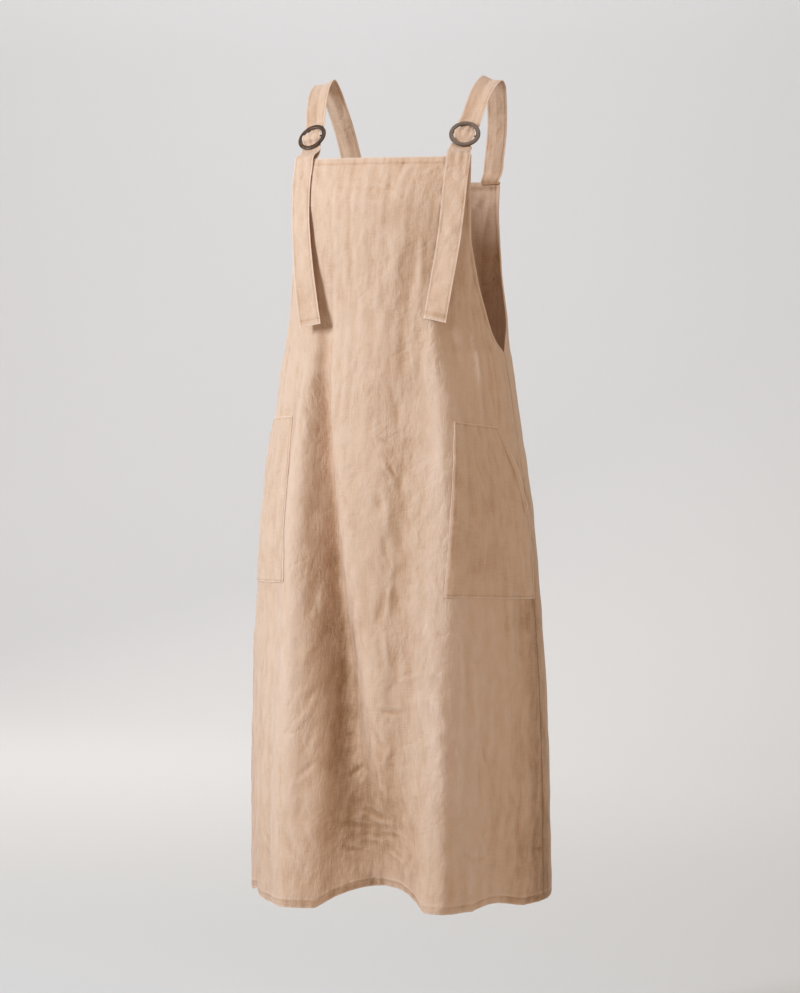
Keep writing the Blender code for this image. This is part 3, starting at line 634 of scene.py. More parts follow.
@dataclass
class Panel:
    """A body panel as a surface: its sections, the way it faces, its top edge and the relief on it."""

    sections: tuple[Section, ...]
    facing: float  # -1 for the front, +1 for the back
    top: float
    relief: Relief
    seam_share: float = 0.25  # how much of the relief is left at the side seams
    seam_fade: float = 0.05  # turn over which it goes down to that
    band_share: float = 0.35  # how much of it is left on the turned top edge
    band_fade: float = 0.012

    def edge_column(self, drop: Array, column: str) -> Array:
        """A column with a corner at the armhole's foot, where the edge becomes the side seam."""
        drops = np.array([row.drop for row in self.sections])
        values = np.array([getattr(row, column) for row in self.sections])
        above = drops <= ARMHOLE_DROP
        below = drops >= ARMHOLE_DROP
        armhole = smooth_column(drop, drops[above], values[above])
        seam = smooth_column(drop, drops[below], values[below])
        return np.where(drop < ARMHOLE_DROP, armhole, seam)

    def values(self, drop: Array) -> tuple[Array, Array, Array, Array]:
        """The section columns at each drop."""
        drops = [row.drop for row in self.sections]
        edge_x = smooth_column(drop, drops, [row.edge_x for row in self.sections])
        middle_y = smooth_column(drop, drops, [row.middle_y for row in self.sections])
        wrap = np.radians(self.edge_column(drop, "wrap"))
        return edge_x, self.edge_column(drop, "edge_y"), middle_y, wrap

    @staticmethod
    def fold_rows(fold: Fold) -> tuple[list[float], list[float]]:
        """Drops and depths of a fold down to the hem."""
        drops = [fold.start - FOLD_LEAD, fold.start, FOLD_SET, FOLD_MID, HEM_DROP]
        depths = [0.0, 0.0, fold.depth_set, fold.depth_mid, fold.depth_hem]
        if fold.start >= FOLD_SET:
            del drops[2], depths[2]
        return drops, depths

    def fold_depth(self, angle: Array, drop: Array) -> Array:
        """How far the large folds move the cloth out."""
        depth = np.zeros(np.broadcast(angle, drop).shape)
        levels = (FOLD_TOP, FOLD_MID, HEM_DROP)
        for fold in FOLDS:
            centre = smooth_column(drop, levels, (fold.angle_top, fold.angle_mid, fold.angle_hem))
            spread = smooth_column(drop, levels[::2], (fold.spread_top, fold.spread_hem))
            height = smooth_column(drop, *self.fold_rows(fold))
            away = (angle - centre + 180.0) % 360.0 - 180.0
            depth += height * bell(away / spread)
        return depth

    def angle(self, turn: Array, drop: Array) -> Array:
        """Body angle in degrees at a turn and drop."""
        phi = np.degrees(turn * self.values(drop)[3])
        return phi if self.facing < 0 else 180.0 - phi

    def base(self, turn: Array, drop: Array) -> Array:
        """Point of the smooth panel: an arc through its middle and edges, moved out by the folds.

        At each level x = edge_x sin(p) / sin(w) and y runs with cos(p) from the edge to the middle,
        for p = turn times the wrap w. The folds move the point along the arc's plan normal, and deep
        ones lift it.

        Args:
            turn: -1 at the wearer's right edge, +1 at the left one.
            drop: metres below the shoulder line.

        Returns:
            Points, in metres, with one more axis than the inputs.
        """
        turn, drop = np.broadcast_arrays(np.asarray(turn, float), np.asarray(drop, float))
        edge_x, edge_y, middle_y, wrap = self.values(drop)
        phi = turn * wrap
        reach = edge_x / np.sin(wrap)
        depth = (middle_y - edge_y) / (1.0 - np.cos(wrap))
        x = reach * np.sin(phi)
        y = edge_y + depth * (np.cos(phi) - np.cos(wrap))
        out_x = np.abs(depth) * np.sin(phi)
        out_y = self.facing * reach * np.cos(phi)
        length = np.hypot(out_x, out_y)
        angle = np.degrees(phi) if self.facing < 0 else 180.0 - np.degrees(phi)
        fold = self.fold_depth(angle, drop)
        x = x + fold * out_x / length
        y = y + fold * out_y / length
        settled = rising(drop, ARMHOLE_DROP, SKIRT_SET - ARMHOLE_DROP)
        hem = rising(drop, FOLD_MID, HEM_DROP - FOLD_MID)
        side = np.sin(np.radians(angle))
        lift = settled * (SKIRT_TILT * side - SIDE_DROOP * side**2)
        lift = lift + hem * VALLEY_LIFT * (1.0 - np.exp(np.minimum(fold, 0.0) / VALLEY_FULL))
        if self.facing < 0:
            lift = lift + BIB_LIFT * np.abs(turn) ** 5 * ease((ARMHOLE_DROP - drop) / BIB_LIFT_REACH)
        return np.stack([x, y, lift - drop], axis=-1)

    def base_normal(self, turn: Array, drop: Array) -> Array:
        """Outward unit normal of the smooth panel, the cross product of its two slopes."""
        across = self.base(turn + STEP, drop) - self.base(turn - STEP, drop)
        down = self.base(turn, drop + STEP) - self.base(turn, drop - STEP)
        return unit(self.facing * np.cross(across, down))

    def crease_height(self, turn: Array, drop: Array) -> Array:
        """The relief, faded out towards the side seams and the turned top edge."""
        height = self.relief.at(self.angle(turn, drop), drop)
        seam = ease((1.0 - np.abs(turn)) / self.seam_fade)
        band = rising(drop, self.top + EDGE_BAND, self.band_fade)
        height = height * (self.seam_share + (1.0 - self.seam_share) * seam)
        return height * (self.band_share + (1.0 - self.band_share) * band)

    def skin(self, turn: Array, drop: Array, out: Array | float = 0.0) -> Array:
        """Point of the creased cloth's outer face, moved `out` along the smooth panel's normal."""
        turn, drop = np.broadcast_arrays(np.asarray(turn, float), np.asarray(drop, float))
        rise = self.crease_height(turn, drop) + out
        return self.base(turn, drop) + rise[..., None] * self.base_normal(turn, drop)

    def skin_normal(self, turn: Array, drop: Array) -> Array:
        """Outward unit normal of the creased cloth, from slopes over twelve steps."""
        reach = 12 * STEP
        across = self.skin(turn + reach, drop) - self.skin(turn - reach, drop)
        down = self.skin(turn, drop + reach) - self.skin(turn, drop - reach)
        return unit(self.facing * np.cross(across, down))

    def turn_at(self, x: Array, drop: Array) -> Array:
        """The turn at which the smooth panel without folds passes a given x."""
        edge_x, _, _, wrap = self.values(drop)
        return np.arcsin(np.clip(x / edge_x * np.sin(wrap), -1.0, 1.0)) / wrap

    def edge_speed(self, drop: Array, part: float = 0.01) -> Array:
        """Metres across the panel for one unit of turn, over the last part of a turn at its edge."""
        edge = self.base(np.full(np.shape(drop), 1.0), drop)
        inside = self.base(np.full(np.shape(drop), 1.0 - part), drop)
        return np.linalg.norm(edge - inside, axis=-1) / part


# ---------------------------------------------------------------- meshes


def rim_wear_and_line_shade(distance: Array, line: float) -> Array:
    """Wear near a stitched edge: rubbed pale at the rim, and painted shade along the line of stitches."""
    return RIM_WEAR * bell(distance / RIM_WIDTH) - LINE_SHADE * bell(distance, line, LINE_WIDTH)


@dataclass(frozen=True)
class TurnedEdge:
    """Section of a turned edge: rolled in at the rim, proud over its band, a dip at its stitches."""

    roll: float = 0.00055
    roll_width: float = 0.0007
    proud: float = 0.00038
    proud_end: Pair = (-0.0008, 0.0012)  # where it starts to end, from the band's line, and over what
    dip: float = 0.00042
    dip_at: float = -0.0002
    dip_width: float = 0.0009

    def out(self, distance: Array, line: float) -> Array:
        """Offset of the face at distances from the rim, for a band that ends at a line."""
        start, reach = self.proud_end
        out = self.proud * (1.0 - rising(distance, line + start, reach))
        out = out - self.roll * bell(distance / self.roll_width)
        return out - self.dip * bell(distance, line + self.dip_at, self.dip_width)


@dataclass(frozen=True)
class Pucker:
    """A row of small puckers that a line of stitches draws up.

    Its height is sin(s / pitch + wander sin(s / drift)) for s along the line, times a bell of the
    distance from it.
    """

    height: float
    pitch: float
    wander: float
    drift: float
    line: float
    width: float

    def out(self, along: Array, distance: Array) -> Array:
        """Height at places along the line and distances from the edge."""
        wave = np.sin(along / self.pitch + self.wander * np.sin(along / self.drift))
        return self.height * wave * bell(distance, self.line, self.width)


@dataclass
class Wall:
    """A closed wall: a fine outer grid, an inner grid at every second point, and the rim between.

    `inner_shade` is added to the inner face's value: painted shade where it is below 0.
    """

    outer: Array
    inner: Array
    uv: Array
    wear_and_shade: Array
    inner_shade: float = 0.0

    def faces(self) -> list:
        """The quads of both grids and the triangles of the rim."""
        rows, columns = self.outer.shape[:2]
        fine = np.arange(rows * columns).reshape(rows, columns)
        few = self.inner.shape[0] * self.inner.shape[1]
        coarse = np.arange(few).reshape(self.inner.shape[:2]) + rows * columns
        quads = np.concatenate([self.quads(fine), self.quads(coarse)[:, ::-1]])
        outer, inner = self.rim(fine), self.rim(coarse)
        first, middle, last = outer[::2], outer[1::2], np.roll(outer[::2], -1)
        after = np.roll(inner, -1)
        triangles = ((first, middle, inner), (middle, after, inner), (middle, last, after))
        rim = np.concatenate([np.stack(corners, axis=-1) for corners in triangles])
        return quads.tolist() + rim.tolist()

    @staticmethod
    def quads(index: Array) -> Array:
        """The four corners of every cell of a grid of indices."""
        cells = [index[:-1, :-1], index[1:, :-1], index[1:, 1:], index[:-1, 1:]]
        return np.stack(cells, axis=-1).reshape(-1, 4)

    @staticmethod
    def rim(index: Array) -> Array:
        """The border of a grid of indices, once round."""
        return np.concatenate([index[0, :], index[1:, -1], index[-1, -2::-1], index[-2:0:-1, 0]])

    def points(self) -> Array:
        """All points, the outer grid's first."""
        return np.concatenate([self.outer.reshape(-1, 3), self.inner.reshape(-1, 3)])

    def uvs(self) -> Array:
        """The UV of every point, the inner grid's taken from the outer points over it."""
        return np.concatenate([self.uv.reshape(-1, 2), self.uv[::2, ::2].reshape(-1, 2)])

    def wear_and_shade_values(self) -> Array:
        """The value of every point, rubbing with painted light and shade, the inner grid's that of the outer
        points plus its painted shade.
        """
        return np.concatenate([self.wear_and_shade.ravel(), self.wear_and_shade[::2, ::2].ravel() + self.inner_shade])


def thicken(grid: Array, half: Array | float) -> tuple[Array, Array]:
    """Two grids, half a wall each way from a middle surface along its own normals."""
    normal = unit(np.cross(np.gradient(grid, axis=0), np.gradient(grid, axis=1)))
    offset = np.broadcast_to(half, grid.shape[:2])[..., None] * normal
    return grid + offset, grid - offset


def wall_volume(points: Array, faces: list) -> float:
    """Signed volume of a closed mesh: the sum over its face fans of a . (b x c) / 6."""
    total = 0.0
    for size in (3, 4):
        corners = np.array([face for face in faces if len(face) == size], dtype=int)
        for last in range(2, size if len(corners) else 0):
            a, b, c = (points[corners[:, place]] for place in (0, last - 1, last))
            total += float(np.einsum("ij,ij->i", a, np.cross(b, c)).sum()) / 6.0
    return total


def link(name: str, data: bpy.types.ID) -> Thing:
    """Puts a mesh, a light or a camera into the scene as an object."""
    thing = bpy.data.objects.new(name, data)
    bpy.context.scene.collection.objects.link(thing)
    return thing


def aim(thing: Thing, place: Triple, target: Triple) -> None:
    """Moves a light or a camera to a place and turns it towards a target."""
    thing.location = place
    thing.rotation_euler = (Vector(target) - Vector(place)).to_track_quat("-Z", "Y").to_euler()


def new_object(name: str, points: Array, faces: list, uvs: Array, material: Material) -> Thing:
    """Makes one mesh object at the origin, its faces outwards, smooth, with its UV map.

    Args:
        name: object's name.
        points: vertices, one row each.
        faces: lists of vertex indices, all wound the same way.
        uvs: one UV for each vertex, in metres.
        material: its only material.

    Returns:
        The linked object, which rides on the body.
    """
    if wall_volume(points, faces) < 0.0:
        faces = [face[::-1] for face in faces]
    mesh = bpy.data.meshes.new(name)
    mesh.from_pydata(points.tolist(), [], faces)
    corners = np.empty(len(mesh.loops), dtype=np.int32)
    mesh.loops.foreach_get("vertex_index", corners)
    layer = mesh.uv_layers.new(name=UV_NAME)
    layer.uv.foreach_set("vector", uvs[corners].astype(np.float32).ravel())
    mesh.materials.append(material)
    mesh.shade_smooth()
    mesh.set_sharp_from_angle(angle=math.radians(SHARP_ANGLE))
    mesh.validate()
    thing = link(name, mesh)
    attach(thing, BODY)
    log.info("%s: %d points", name, len(points))
    return thing


def cloth_piece(name: str, wall: Wall, material: Material, node: str) -> Thing:
    """A cloth wall with its rubbing and painted light and shade, which stands for a CAD node."""
    thing = new_object(name, wall.points(), wall.faces(), wall.uvs(), material)
    wear_and_shade = thing.data.attributes.new(WEAR_AND_SHADE_NAME, "FLOAT", "POINT")
    wear_and_shade.data.foreach_set("value", wall.wear_and_shade_values().astype(np.float32))
    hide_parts(node)
    return thing


# ---------------------------------------------------------------- sewing


@dataclass
class Seam:
    """One run of stitches: points on the cloth and the cloth's normals there."""

    points: Array
    normals: Array

    def stitches(self) -> tuple[Array, Array]:
        """All stitches, each a long grain of six points.

        The path is read at equal lengths. A stitch has a start, an end and four points round its
        middle, half a thread out of the cloth.

        Returns:
            Vertices and triangles.
        """
        length = running_length(self.points)
        starts = np.arange(STITCH_PITCH / 2, length[-1] - STITCH, STITCH_PITCH)
        wheres = (starts, starts + STITCH / 2, starts + STITCH)
        begin, middle, end = (self.read(length, where, self.points) for where in wheres)
        up = unit(self.read(length, starts + STITCH / 2, self.normals)) * THREAD
        side = unit(np.cross(end - begin, up)) * THREAD
        crown, sunk = 0.9 * up, 0.4 * up
        places = [begin - sunk, middle + crown, middle + side, middle - up, middle - side, end - sunk]
        ring = ((1, 2), (2, 3), (3, 4), (4, 1))
        grain = np.array([(0, a, b) for a, b in ring] + [(5, b, a) for a, b in ring])
        faces = grain[None] + 6 * np.arange(len(starts))[:, None, None]
        return np.stack(places, axis=1).reshape(-1, 3), faces.reshape(-1, 3)

    @staticmethod
    def read(length: Array, where: Array, values: Array) -> Array:
        """Values along the path, such as its points, at given lengths."""
        return np.stack([np.interp(where, length, values[:, axis]) for axis in range(3)], axis=-1)


def sew(name: str, seams: list[Seam], material: Material) -> Thing:
    """All stitches of one piece, as one object."""
    points, faces, count = [], [], 0
    for seam in seams:
        new_points, new_faces = seam.stitches()
        points.append(new_points)
        faces.append(new_faces + count)
        count += len(new_points)
    cloud = np.concatenate(points)
    thing = new_object(name, cloud, np.concatenate(faces).tolist(), cloud[:, [0, 2]], material)
    return thing


# ---------------------------------------------------------------- front and back


@dataclass(frozen=True)
class PanelWearAndShade:
    """What the wash and painted light and shade do to a body panel: shares of each, and where each of them
    lies.
    """

    # paler on proud creases, painted shade in their hollows
    crease: float = 0.16
    # painted shade in the folds' valleys, paler on their lobes
    fold: float = 0.44
    full_fold: float = 0.034  # depth of fold that counts as one
    fold_limits: Pair = (-1.25, 0.40)
    fold_calm: float = 0.7  # how much less the folds show near the hem
    calm_drops: Pair = (1.03, 0.08)
    # painted shade in the furrow along each side seam
    seam: float = 0.55
    seam_width: float = 0.0011
    # painted shade near the side seams on the skirt
    side: float = 0.60
    side_width: float = 0.044
    side_drops: Pair = (0.50, 0.18)
    # painted shade over the lower skirt, deeper towards the hem
    foot: float = 0.20
    foot_drops: Pair = (0.85, 0.25)
    # painted light over the front at the wearer's left hip
    hip: float = 0.26
    hip_angle: float = 48.0
    hip_spread: float = 21.0
    hip_drops: Pair = (0.32, 0.08)
    # painted shade on the hem's band
    band: float = 0.14
    band_end: Pair = (-0.001, 0.002)
    ridge: float = 0.25  # painted highlight just over the hem's line of stitches
    ridge_at: float = 0.0022
    ridge_width: float = 0.0015
    # painted shade on the inner face
    inner: float = -0.26


@dataclass
class BodyPanel:
    """The cloth of one panel: a creased wall with turned edges, a stitched hem and furrowed seams."""

    name: str
    node: str
    panel: Panel
    flat: Pair
    area: float
    columns: int = 241
    rows: int = 321
    worn_and_shaded: PanelWearAndShade = PanelWearAndShade()
    edge: TurnedEdge = TurnedEdge()
    hem_pucker: Pucker = Pucker(0.00048, 1 / 92, 2.2, 1 / 17, 0.004, 0.0065)
    top_pucker: Pucker = Pucker(0.00016, 1 / 118, 0.0, 1.0, 0.0055, 0.005)
    armhole_fade: float = 0.012
    stitch_inset: float = 0.0002
    edge_steps_mm: tuple[float, ...] = (0.0, 0.5, 1.4, 2.8, 4.6, 5.6, 6.3, 7.2, 9.0, 12.0)
    hem_steps_mm: tuple[float, ...] = (0.0, 0.5, 1.6, 3.2, 5.0, 6.8, 8.4, 9.2, 9.8, 10.8, 12.6, 15.0)
    top_steps_mm: tuple[float, ...] = (0.0, 0.4, 1.4, 3.0, 4.6, 6.4, 7.8, 8.4, 9.2, 11.0)

    def drops(self) -> Array:
        """The rows' drops."""
        top = self.panel.top + np.array(self.top_steps_mm) / 1000.0
        hem = HEM_DROP - np.array(self.hem_steps_mm)[::-1] / 1000.0
        between = self.rows - len(top) - len(hem)
        even = np.linspace(top[-1], hem[0], between + 2)[1:-1]
        return np.concatenate([top, even, hem])

    def turns(self, drop: Array) -> Array:
        """The columns' turns."""
        steps = np.array(self.edge_steps_mm) / 1000.0
        edge = SEAM_TURN - steps[None, :] / self.panel.edge_speed(drop)[:, None]
        between = self.columns - 2 * len(steps)
        share = np.linspace(1.0, -1.0, between + 2)[None, 1:-1]
        return np.concatenate([-edge, -edge[:, -1:] * share, edge[:, ::-1]], axis=1)

    def edges(self, turn: Array, drop: Array) -> tuple[Array, Array, Array, Array]:
        """Where the points of a grid lie from the panel's edges."""
        from_side = (SEAM_TURN - np.abs(turn)) * self.panel.edge_speed(drop[:, :1])
        armhole = 1.0 - rising(drop, ARMHOLE_DROP - self.armhole_fade, self.armhole_fade)
        return from_side, drop - self.panel.top, HEM_DROP - drop, armhole

    def edge_shape(self, turn: Array, drop: Array) -> tuple[Array, Array]:
        """Offset of the outer face and thickness of the wall near the edges."""
        from_side, from_top, from_hem, armhole = self.edges(turn, drop)
        out = armhole * self.edge.out(from_side, ARM_BAND)
        out += self.edge.out(from_top, EDGE_BAND) + self.edge.out(from_hem, HEM_BAND)
        out -= HEM_CURL * (1.0 - ease(from_hem / CURL_REACH))
        out -= (1.0 - armhole) * SEAM_DIP * bell(from_side / SEAM_REACH)
        around = np.radians(self.panel.angle(turn, drop))
        out += self.hem_pucker.out(around, from_hem) + self.top_pucker.out(around, from_top)
        double = np.maximum(armhole * (from_side < ARM_BAND), from_top < EDGE_BAND)
        double = np.maximum(double, from_hem < HEM_BAND)
        return out, LINEN + (TURNED - LINEN) * double

    def wear_and_shade(self, turn: Array, drop: Array) -> Array:
        """Wear of the panel with painted light and shade: pale on creases, folds and rims, painted light over
        the wearer's left hip and just over the hem's stitches, and painted shade in seams, stitched lines,
        hollows, the hem's band, the lower skirt and low down at the sides.

        Args:
            turn: turns of the grid.
            drop: drops of the grid.

        Returns:
            The value of every point: rubbing with painted light and shade.
        """
        from_side, from_top, from_hem, armhole = self.edges(turn, drop)
        angle = self.panel.angle(turn, drop)
        relief, worn_and_shaded = self.panel.relief, self.worn_and_shaded
        wear_and_shade = worn_and_shaded.crease * relief.at(angle, drop, relief.worn_and_shaded)
        folds = np.clip(self.panel.fold_depth(angle, drop) / worn_and_shaded.full_fold, *worn_and_shaded.fold_limits)
        wear_and_shade += worn_and_shaded.fold * folds * (1.0 - worn_and_shaded.fold_calm * rising(drop, *worn_and_shaded.calm_drops))
        wear_and_shade += armhole * rim_wear_and_line_shade(from_side, ARM_BAND)
        wear_and_shade -= (1.0 - armhole) * worn_and_shaded.seam * bell(from_side / worn_and_shaded.seam_width)
        wear_and_shade -= worn_and_shaded.side * rising(drop, *worn_and_shaded.side_drops) * bell(from_side / worn_and_shaded.side_width)
        wear_and_shade -= worn_and_shaded.foot * rising(drop, *worn_and_shaded.foot_drops)
        wear_and_shade += worn_and_shaded.hip * bell(angle, worn_and_shaded.hip_angle, worn_and_shaded.hip_spread) * rising(drop, *worn_and_shaded.hip_drops)
        start, reach = worn_and_shaded.band_end
        wear_and_shade -= worn_and_shaded.band * (1.0 - rising(from_hem, HEM_BAND + start, reach))
        wear_and_shade += worn_and_shaded.ridge * bell(from_hem, HEM_BAND + worn_and_shaded.ridge_at, worn_and_shaded.ridge_width)
        return wear_and_shade + rim_wear_and_line_shade(from_top, EDGE_BAND) + rim_wear_and_line_shade(from_hem, HEM_BAND)

    def build(self, linen: Material, thread: Material) -> Thing:
        """Builds the panel's cloth and its stitches.

        Args:
            linen: the cloth.
            thread: the stitches' thread.

        Returns:
            The cloth's object.
        """
        drop_line = self.drops()
        turn = self.turns(drop_line)
        drop = np.broadcast_to(drop_line[:, None], turn.shape)
        out, thickness = self.edge_shape(turn, drop)
        outer = self.panel.skin(turn, drop, out)
        inner = self.panel.skin(turn, drop, out - thickness)[::2, ::2]
        across = running_length(outer)
        across -= across[:, across.shape[1] // 2][:, None]
        wall = Wall(outer, inner, flat_map(across, -drop), self.wear_and_shade(turn, drop), self.worn_and_shaded.inner)
        thing = cloth_piece(self.name, wall, linen, self.node)
        log.info("%s: widest %.3f m", self.name, np.ptp(across, axis=1).max())
        sew(f"{self.name}_stitches", self.seams(), thread)
        return thing

    def seams(self) -> list[Seam]:
        """Stitches along the top, the hem and both edges of the two armholes."""
        across = np.linspace(-0.985, 0.985, 420)
        down = np.linspace(self.panel.top + 0.004, ARMHOLE_DROP - 0.003, 220)
        seams = [
            self.run(across, self.panel.top + EDGE_BAND - self.stitch_inset),
            self.run(across, HEM_DROP - HEM_BAND + self.stitch_inset),
        ]
        speed = self.panel.edge_speed(down)
        for side in Side:
            for distance in (RIM_LINE, ARM_BAND - self.stitch_inset):
                seams.append(self.run(side.value * (SEAM_TURN - distance / speed), down))
        return seams

    def run(self, turn: Array, drop: Array | float) -> Seam:
        """A run of stitches along turns and drops of the panel."""
        turn, drop = np.broadcast_arrays(turn, drop)
        out, _ = self.edge_shape(turn[:, None], drop[:, None])
        return Seam(self.panel.skin(turn, drop, out[:, 0]), self.panel.skin_normal(turn, drop))


# ---------------------------------------------------------------- patch pockets


@dataclass
class PatchPocket:
    """A patch pocket on the front, with a straight top, a slanted hand opening and stitched edges.

    Angles are body angles in degrees, lengths are metres. The inner edge runs from inner_top to
    inner_foot. The opening's edge runs from slant_angle at the top to the side seam at slant_foot.
    """

    side: Side
    front: Panel
    top: float
    foot: float
    inner_top: float
    inner_foot: float
    slant_foot: float
    outer_fall: float
    corner: float
    slant_angle: float = 71.0
    flat: Pair = (0.150, 0.245)
    area: float = 0.033
    width: float = 0.105  # as it is drawn across, for edges, puckers and the weave
    turn_width: float = 0.27  # metres across the front for one unit of turn
    seam_inset: float = 0.0012  # from the side seam, in turns
    bow: float = 0.002  # how far the opening's edge sags inwards, in turns
    cloth: float = 0.0016
    loose: float = 0.0009  # how far the middle stands off the front
    loose_reach: float = 0.030
    gape: float = 0.0045
    furrow: float = 0.0008  # behind the gaping edge
    furrow_line: float = 0.012
    furrow_width: float = 0.004
    roll: float = 0.00070
    roll_width: float = 0.0007
    dip: float = 0.00050
    dip_width: float = 0.0008
    opening_band: float = 0.0085
    opening_dip: float = 0.00035
    opening_width: float = 0.0009
    # share, distance from the opening's edge and width: rubbed pale at the rim and along the band, painted
    # shade along the band's line of stitches
    opening_wear_and_shade: tuple[Triple, ...] = ((0.45, 0.0, 0.0026), (0.30, 0.0060, 0.0014), (-0.45, 0.0085, 0.0016))
    mouth_pucker: Pucker = Pucker(0.00035, 0.0042, 2.0, 0.013, 0.006, 0.005)
    top_pucker: Pucker = Pucker(0.00022, 0.0023, 1.7, 0.011, 0.0, 0.006)
    foot_pucker: Pucker = Pucker(0.00022, 0.0026, 1.9, 0.009, 0.0, 0.007)
    # paler on proud creases, painted shade in their hollows
    crease_wear_and_shade: float = 0.13
    # the whole pocket a little darker than the front
    overall_darkening: float = -0.04
    edge_steps_mm: tuple[float, ...] = (0.0, 0.5, 1.2, 1.8, 2.4, 3.4)
    columns: int = 97
    rows: int = 173

    @property
    def height(self) -> float:
        """From the top to the foot."""
        return self.foot - self.top

    def slant(self, down: Array) -> Array:
        """How far along the hand opening a share of the height is: 0 at its top, 1 at its foot."""
        return np.clip(down * self.height / (self.slant_foot - self.top), 0.0, 1.0)

    def place(self, across: Array, down: Array) -> tuple[Array, Array]:
        """Where the pocket's points lie on the front."""
        level = self.top + self.height * down
        slant = self.slant(down)
        inner = (self.inner_top + (self.inner_foot - self.inner_top) * down) / 90.0
        above_foot = np.clip((self.foot - level) / max(self.corner, 1e-6), 0.0, 1.0)
        rounding = self.corner * (1.0 - np.sqrt(1.0 - (1.0 - above_foot) ** 2))
        inner = inner + rounding / self.turn_width
        upper = self.slant_angle / 90.0
        outer = upper + (SEAM_TURN - self.seam_inset - upper) * slant - self.bow * np.sin(math.pi * slant)
        fall = self.outer_fall * across * (ease(1.0 - 3.0 * down) + ease(3.0 * down - 2.0))
        return self.side.value * (inner + (outer - inner) * across), level + fall

    def distances(self, across: Array, down: Array) -> tuple[Array, Array, Array, Array]:
        """Metres from the inner edge, the outer edge, the top and the foot."""
        wide, high = self.width, self.height
        return across * wide, (1.0 - across) * wide, down * high, (1.0 - down) * high

    def rise(self, across: Array, down: Array) -> Array:
        """Height of the pocket's cloth over the front: flat seams, a loose middle, a gaping mouth."""
        inner, outer, top, foot = self.distances(across, down)
        slant = self.slant(down)
        free = [ease(distance / self.loose_reach) for distance in (inner, foot, top)]
        mouth = self.gape * across**6 - self.furrow * bell(outer, self.furrow_line, self.furrow_width)
        rise = self.loose * free[0] * free[1] * free[2] + mouth * np.sin(math.pi * slant)
        rise = rise + self.mouth_pucker.out(top, outer) * (slant < 1.0)
        return rise + self.top_pucker.out(inner, top) + self.foot_pucker.out(inner, foot)

    def edge_shape(self, across: Array, down: Array) -> Array:
        """Offset of the outer face at the edges: rolled in, with a dip along each line of stitches."""
        distances = self.distances(across, down)
        out = np.zeros(np.broadcast(across, down).shape)
        for distance in distances:
            out -= self.roll * bell(distance / self.roll_width)
            out -= self.dip * bell(distance, RIM_LINE, self.dip_width)
        mouth = self.slant(down) < 1.0
        return out - self.opening_dip * bell(distances[1], self.opening_band, self.opening_width) * mouth

    def even(self, count: int, length: float) -> Array:
        """Shares of a length for a grid's rows or columns."""
        steps = np.array(self.edge_steps_mm) / 1000.0 / length
        between = np.linspace(steps[-1], 1.0 - steps[-1], count - 2 * len(steps) + 2)[1:-1]
        return np.concatenate([steps, between, 1.0 - steps[::-1]])

    def wear_and_shade(self, across: Array, down: Array) -> Array:
        """Wear of the pocket with painted shade: its creases, its rims with painted shade along their
        stitches, and the doubled opening.
        """
        turn, drop = self.place(across, down)
        relief = self.front.relief
        wear_and_shade = self.crease_wear_and_shade * relief.at(self.front.angle(turn, drop), drop, relief.worn_and_shaded) + self.overall_darkening
        distances = self.distances(across, down)
        # rubbed pale rims, painted shade along the lines of stitches
        for distance in distances:
            wear_and_shade = wear_and_shade + rim_wear_and_line_shade(distance, RIM_LINE + LINE_WIDTH)
        mouth = self.slant(down) < 1.0
        for share, line, width in self.opening_wear_and_shade:
            wear_and_shade = wear_and_shade + share * bell(distances[1], line, width) * mouth
        return wear_and_shade

    def build(self, linen: Material, thread: Material) -> Thing:
        """Builds the pocket's cloth and its stitches.

        Args:
            linen: the cloth.
            thread: the stitches' thread.

        Returns:
            The cloth's object.
        """
        across = self.even(self.columns, self.width)[None, :]
        down = self.even(self.rows, self.height)[:, None]
        turn, drop = self.place(across, down)
        under = SEAM_GAP + self.rise(across, down)
        outer = self.front.skin(turn, drop, under + self.cloth + self.edge_shape(across, down))
        inner = self.front.skin(turn, drop, under)[::2, ::2]
        uv = self.side.value * flat_map(across * self.width, self.top - drop)
        name = f"pocket_{self.side.label}"
        wall = Wall(outer, inner, uv, self.wear_and_shade(across, down))
        thing = cloth_piece(f"{name}_cloth", wall, linen, name)
        stitches = [sew(f"{name}_stitches", self.seams(), thread)]
        return thing

    def seams(self) -> list[Seam]:
        """Stitches round the pocket, and a second line along the hand opening."""
        line = np.linspace(0.02, 0.985, 200)
        mouth = np.linspace(0.02, (self.slant_foot - self.top) / self.height, 200)
        side, level = RIM_LINE / self.width, RIM_LINE / self.height
        band = 1.0 - self.opening_band / self.width
        paths = [(side, line), (line, 1.0 - level), (line, level), (1.0 - side, line), (band, mouth)]
        return [self.run(across, down) for across, down in paths]

    def run(self, across: Array | float, down: Array | float) -> Seam:
        """A run of stitches on the pocket's outer face."""
        across, down = np.broadcast_arrays(across, down)
        turn, drop = self.place(across, down)
        out = SEAM_GAP + self.rise(across, down) + self.cloth + self.edge_shape(across, down)
        return Seam(self.front.skin(turn, drop, out), self.front.skin_normal(turn, drop))


# ---------------------------------------------------------------- rings, straps and tabs


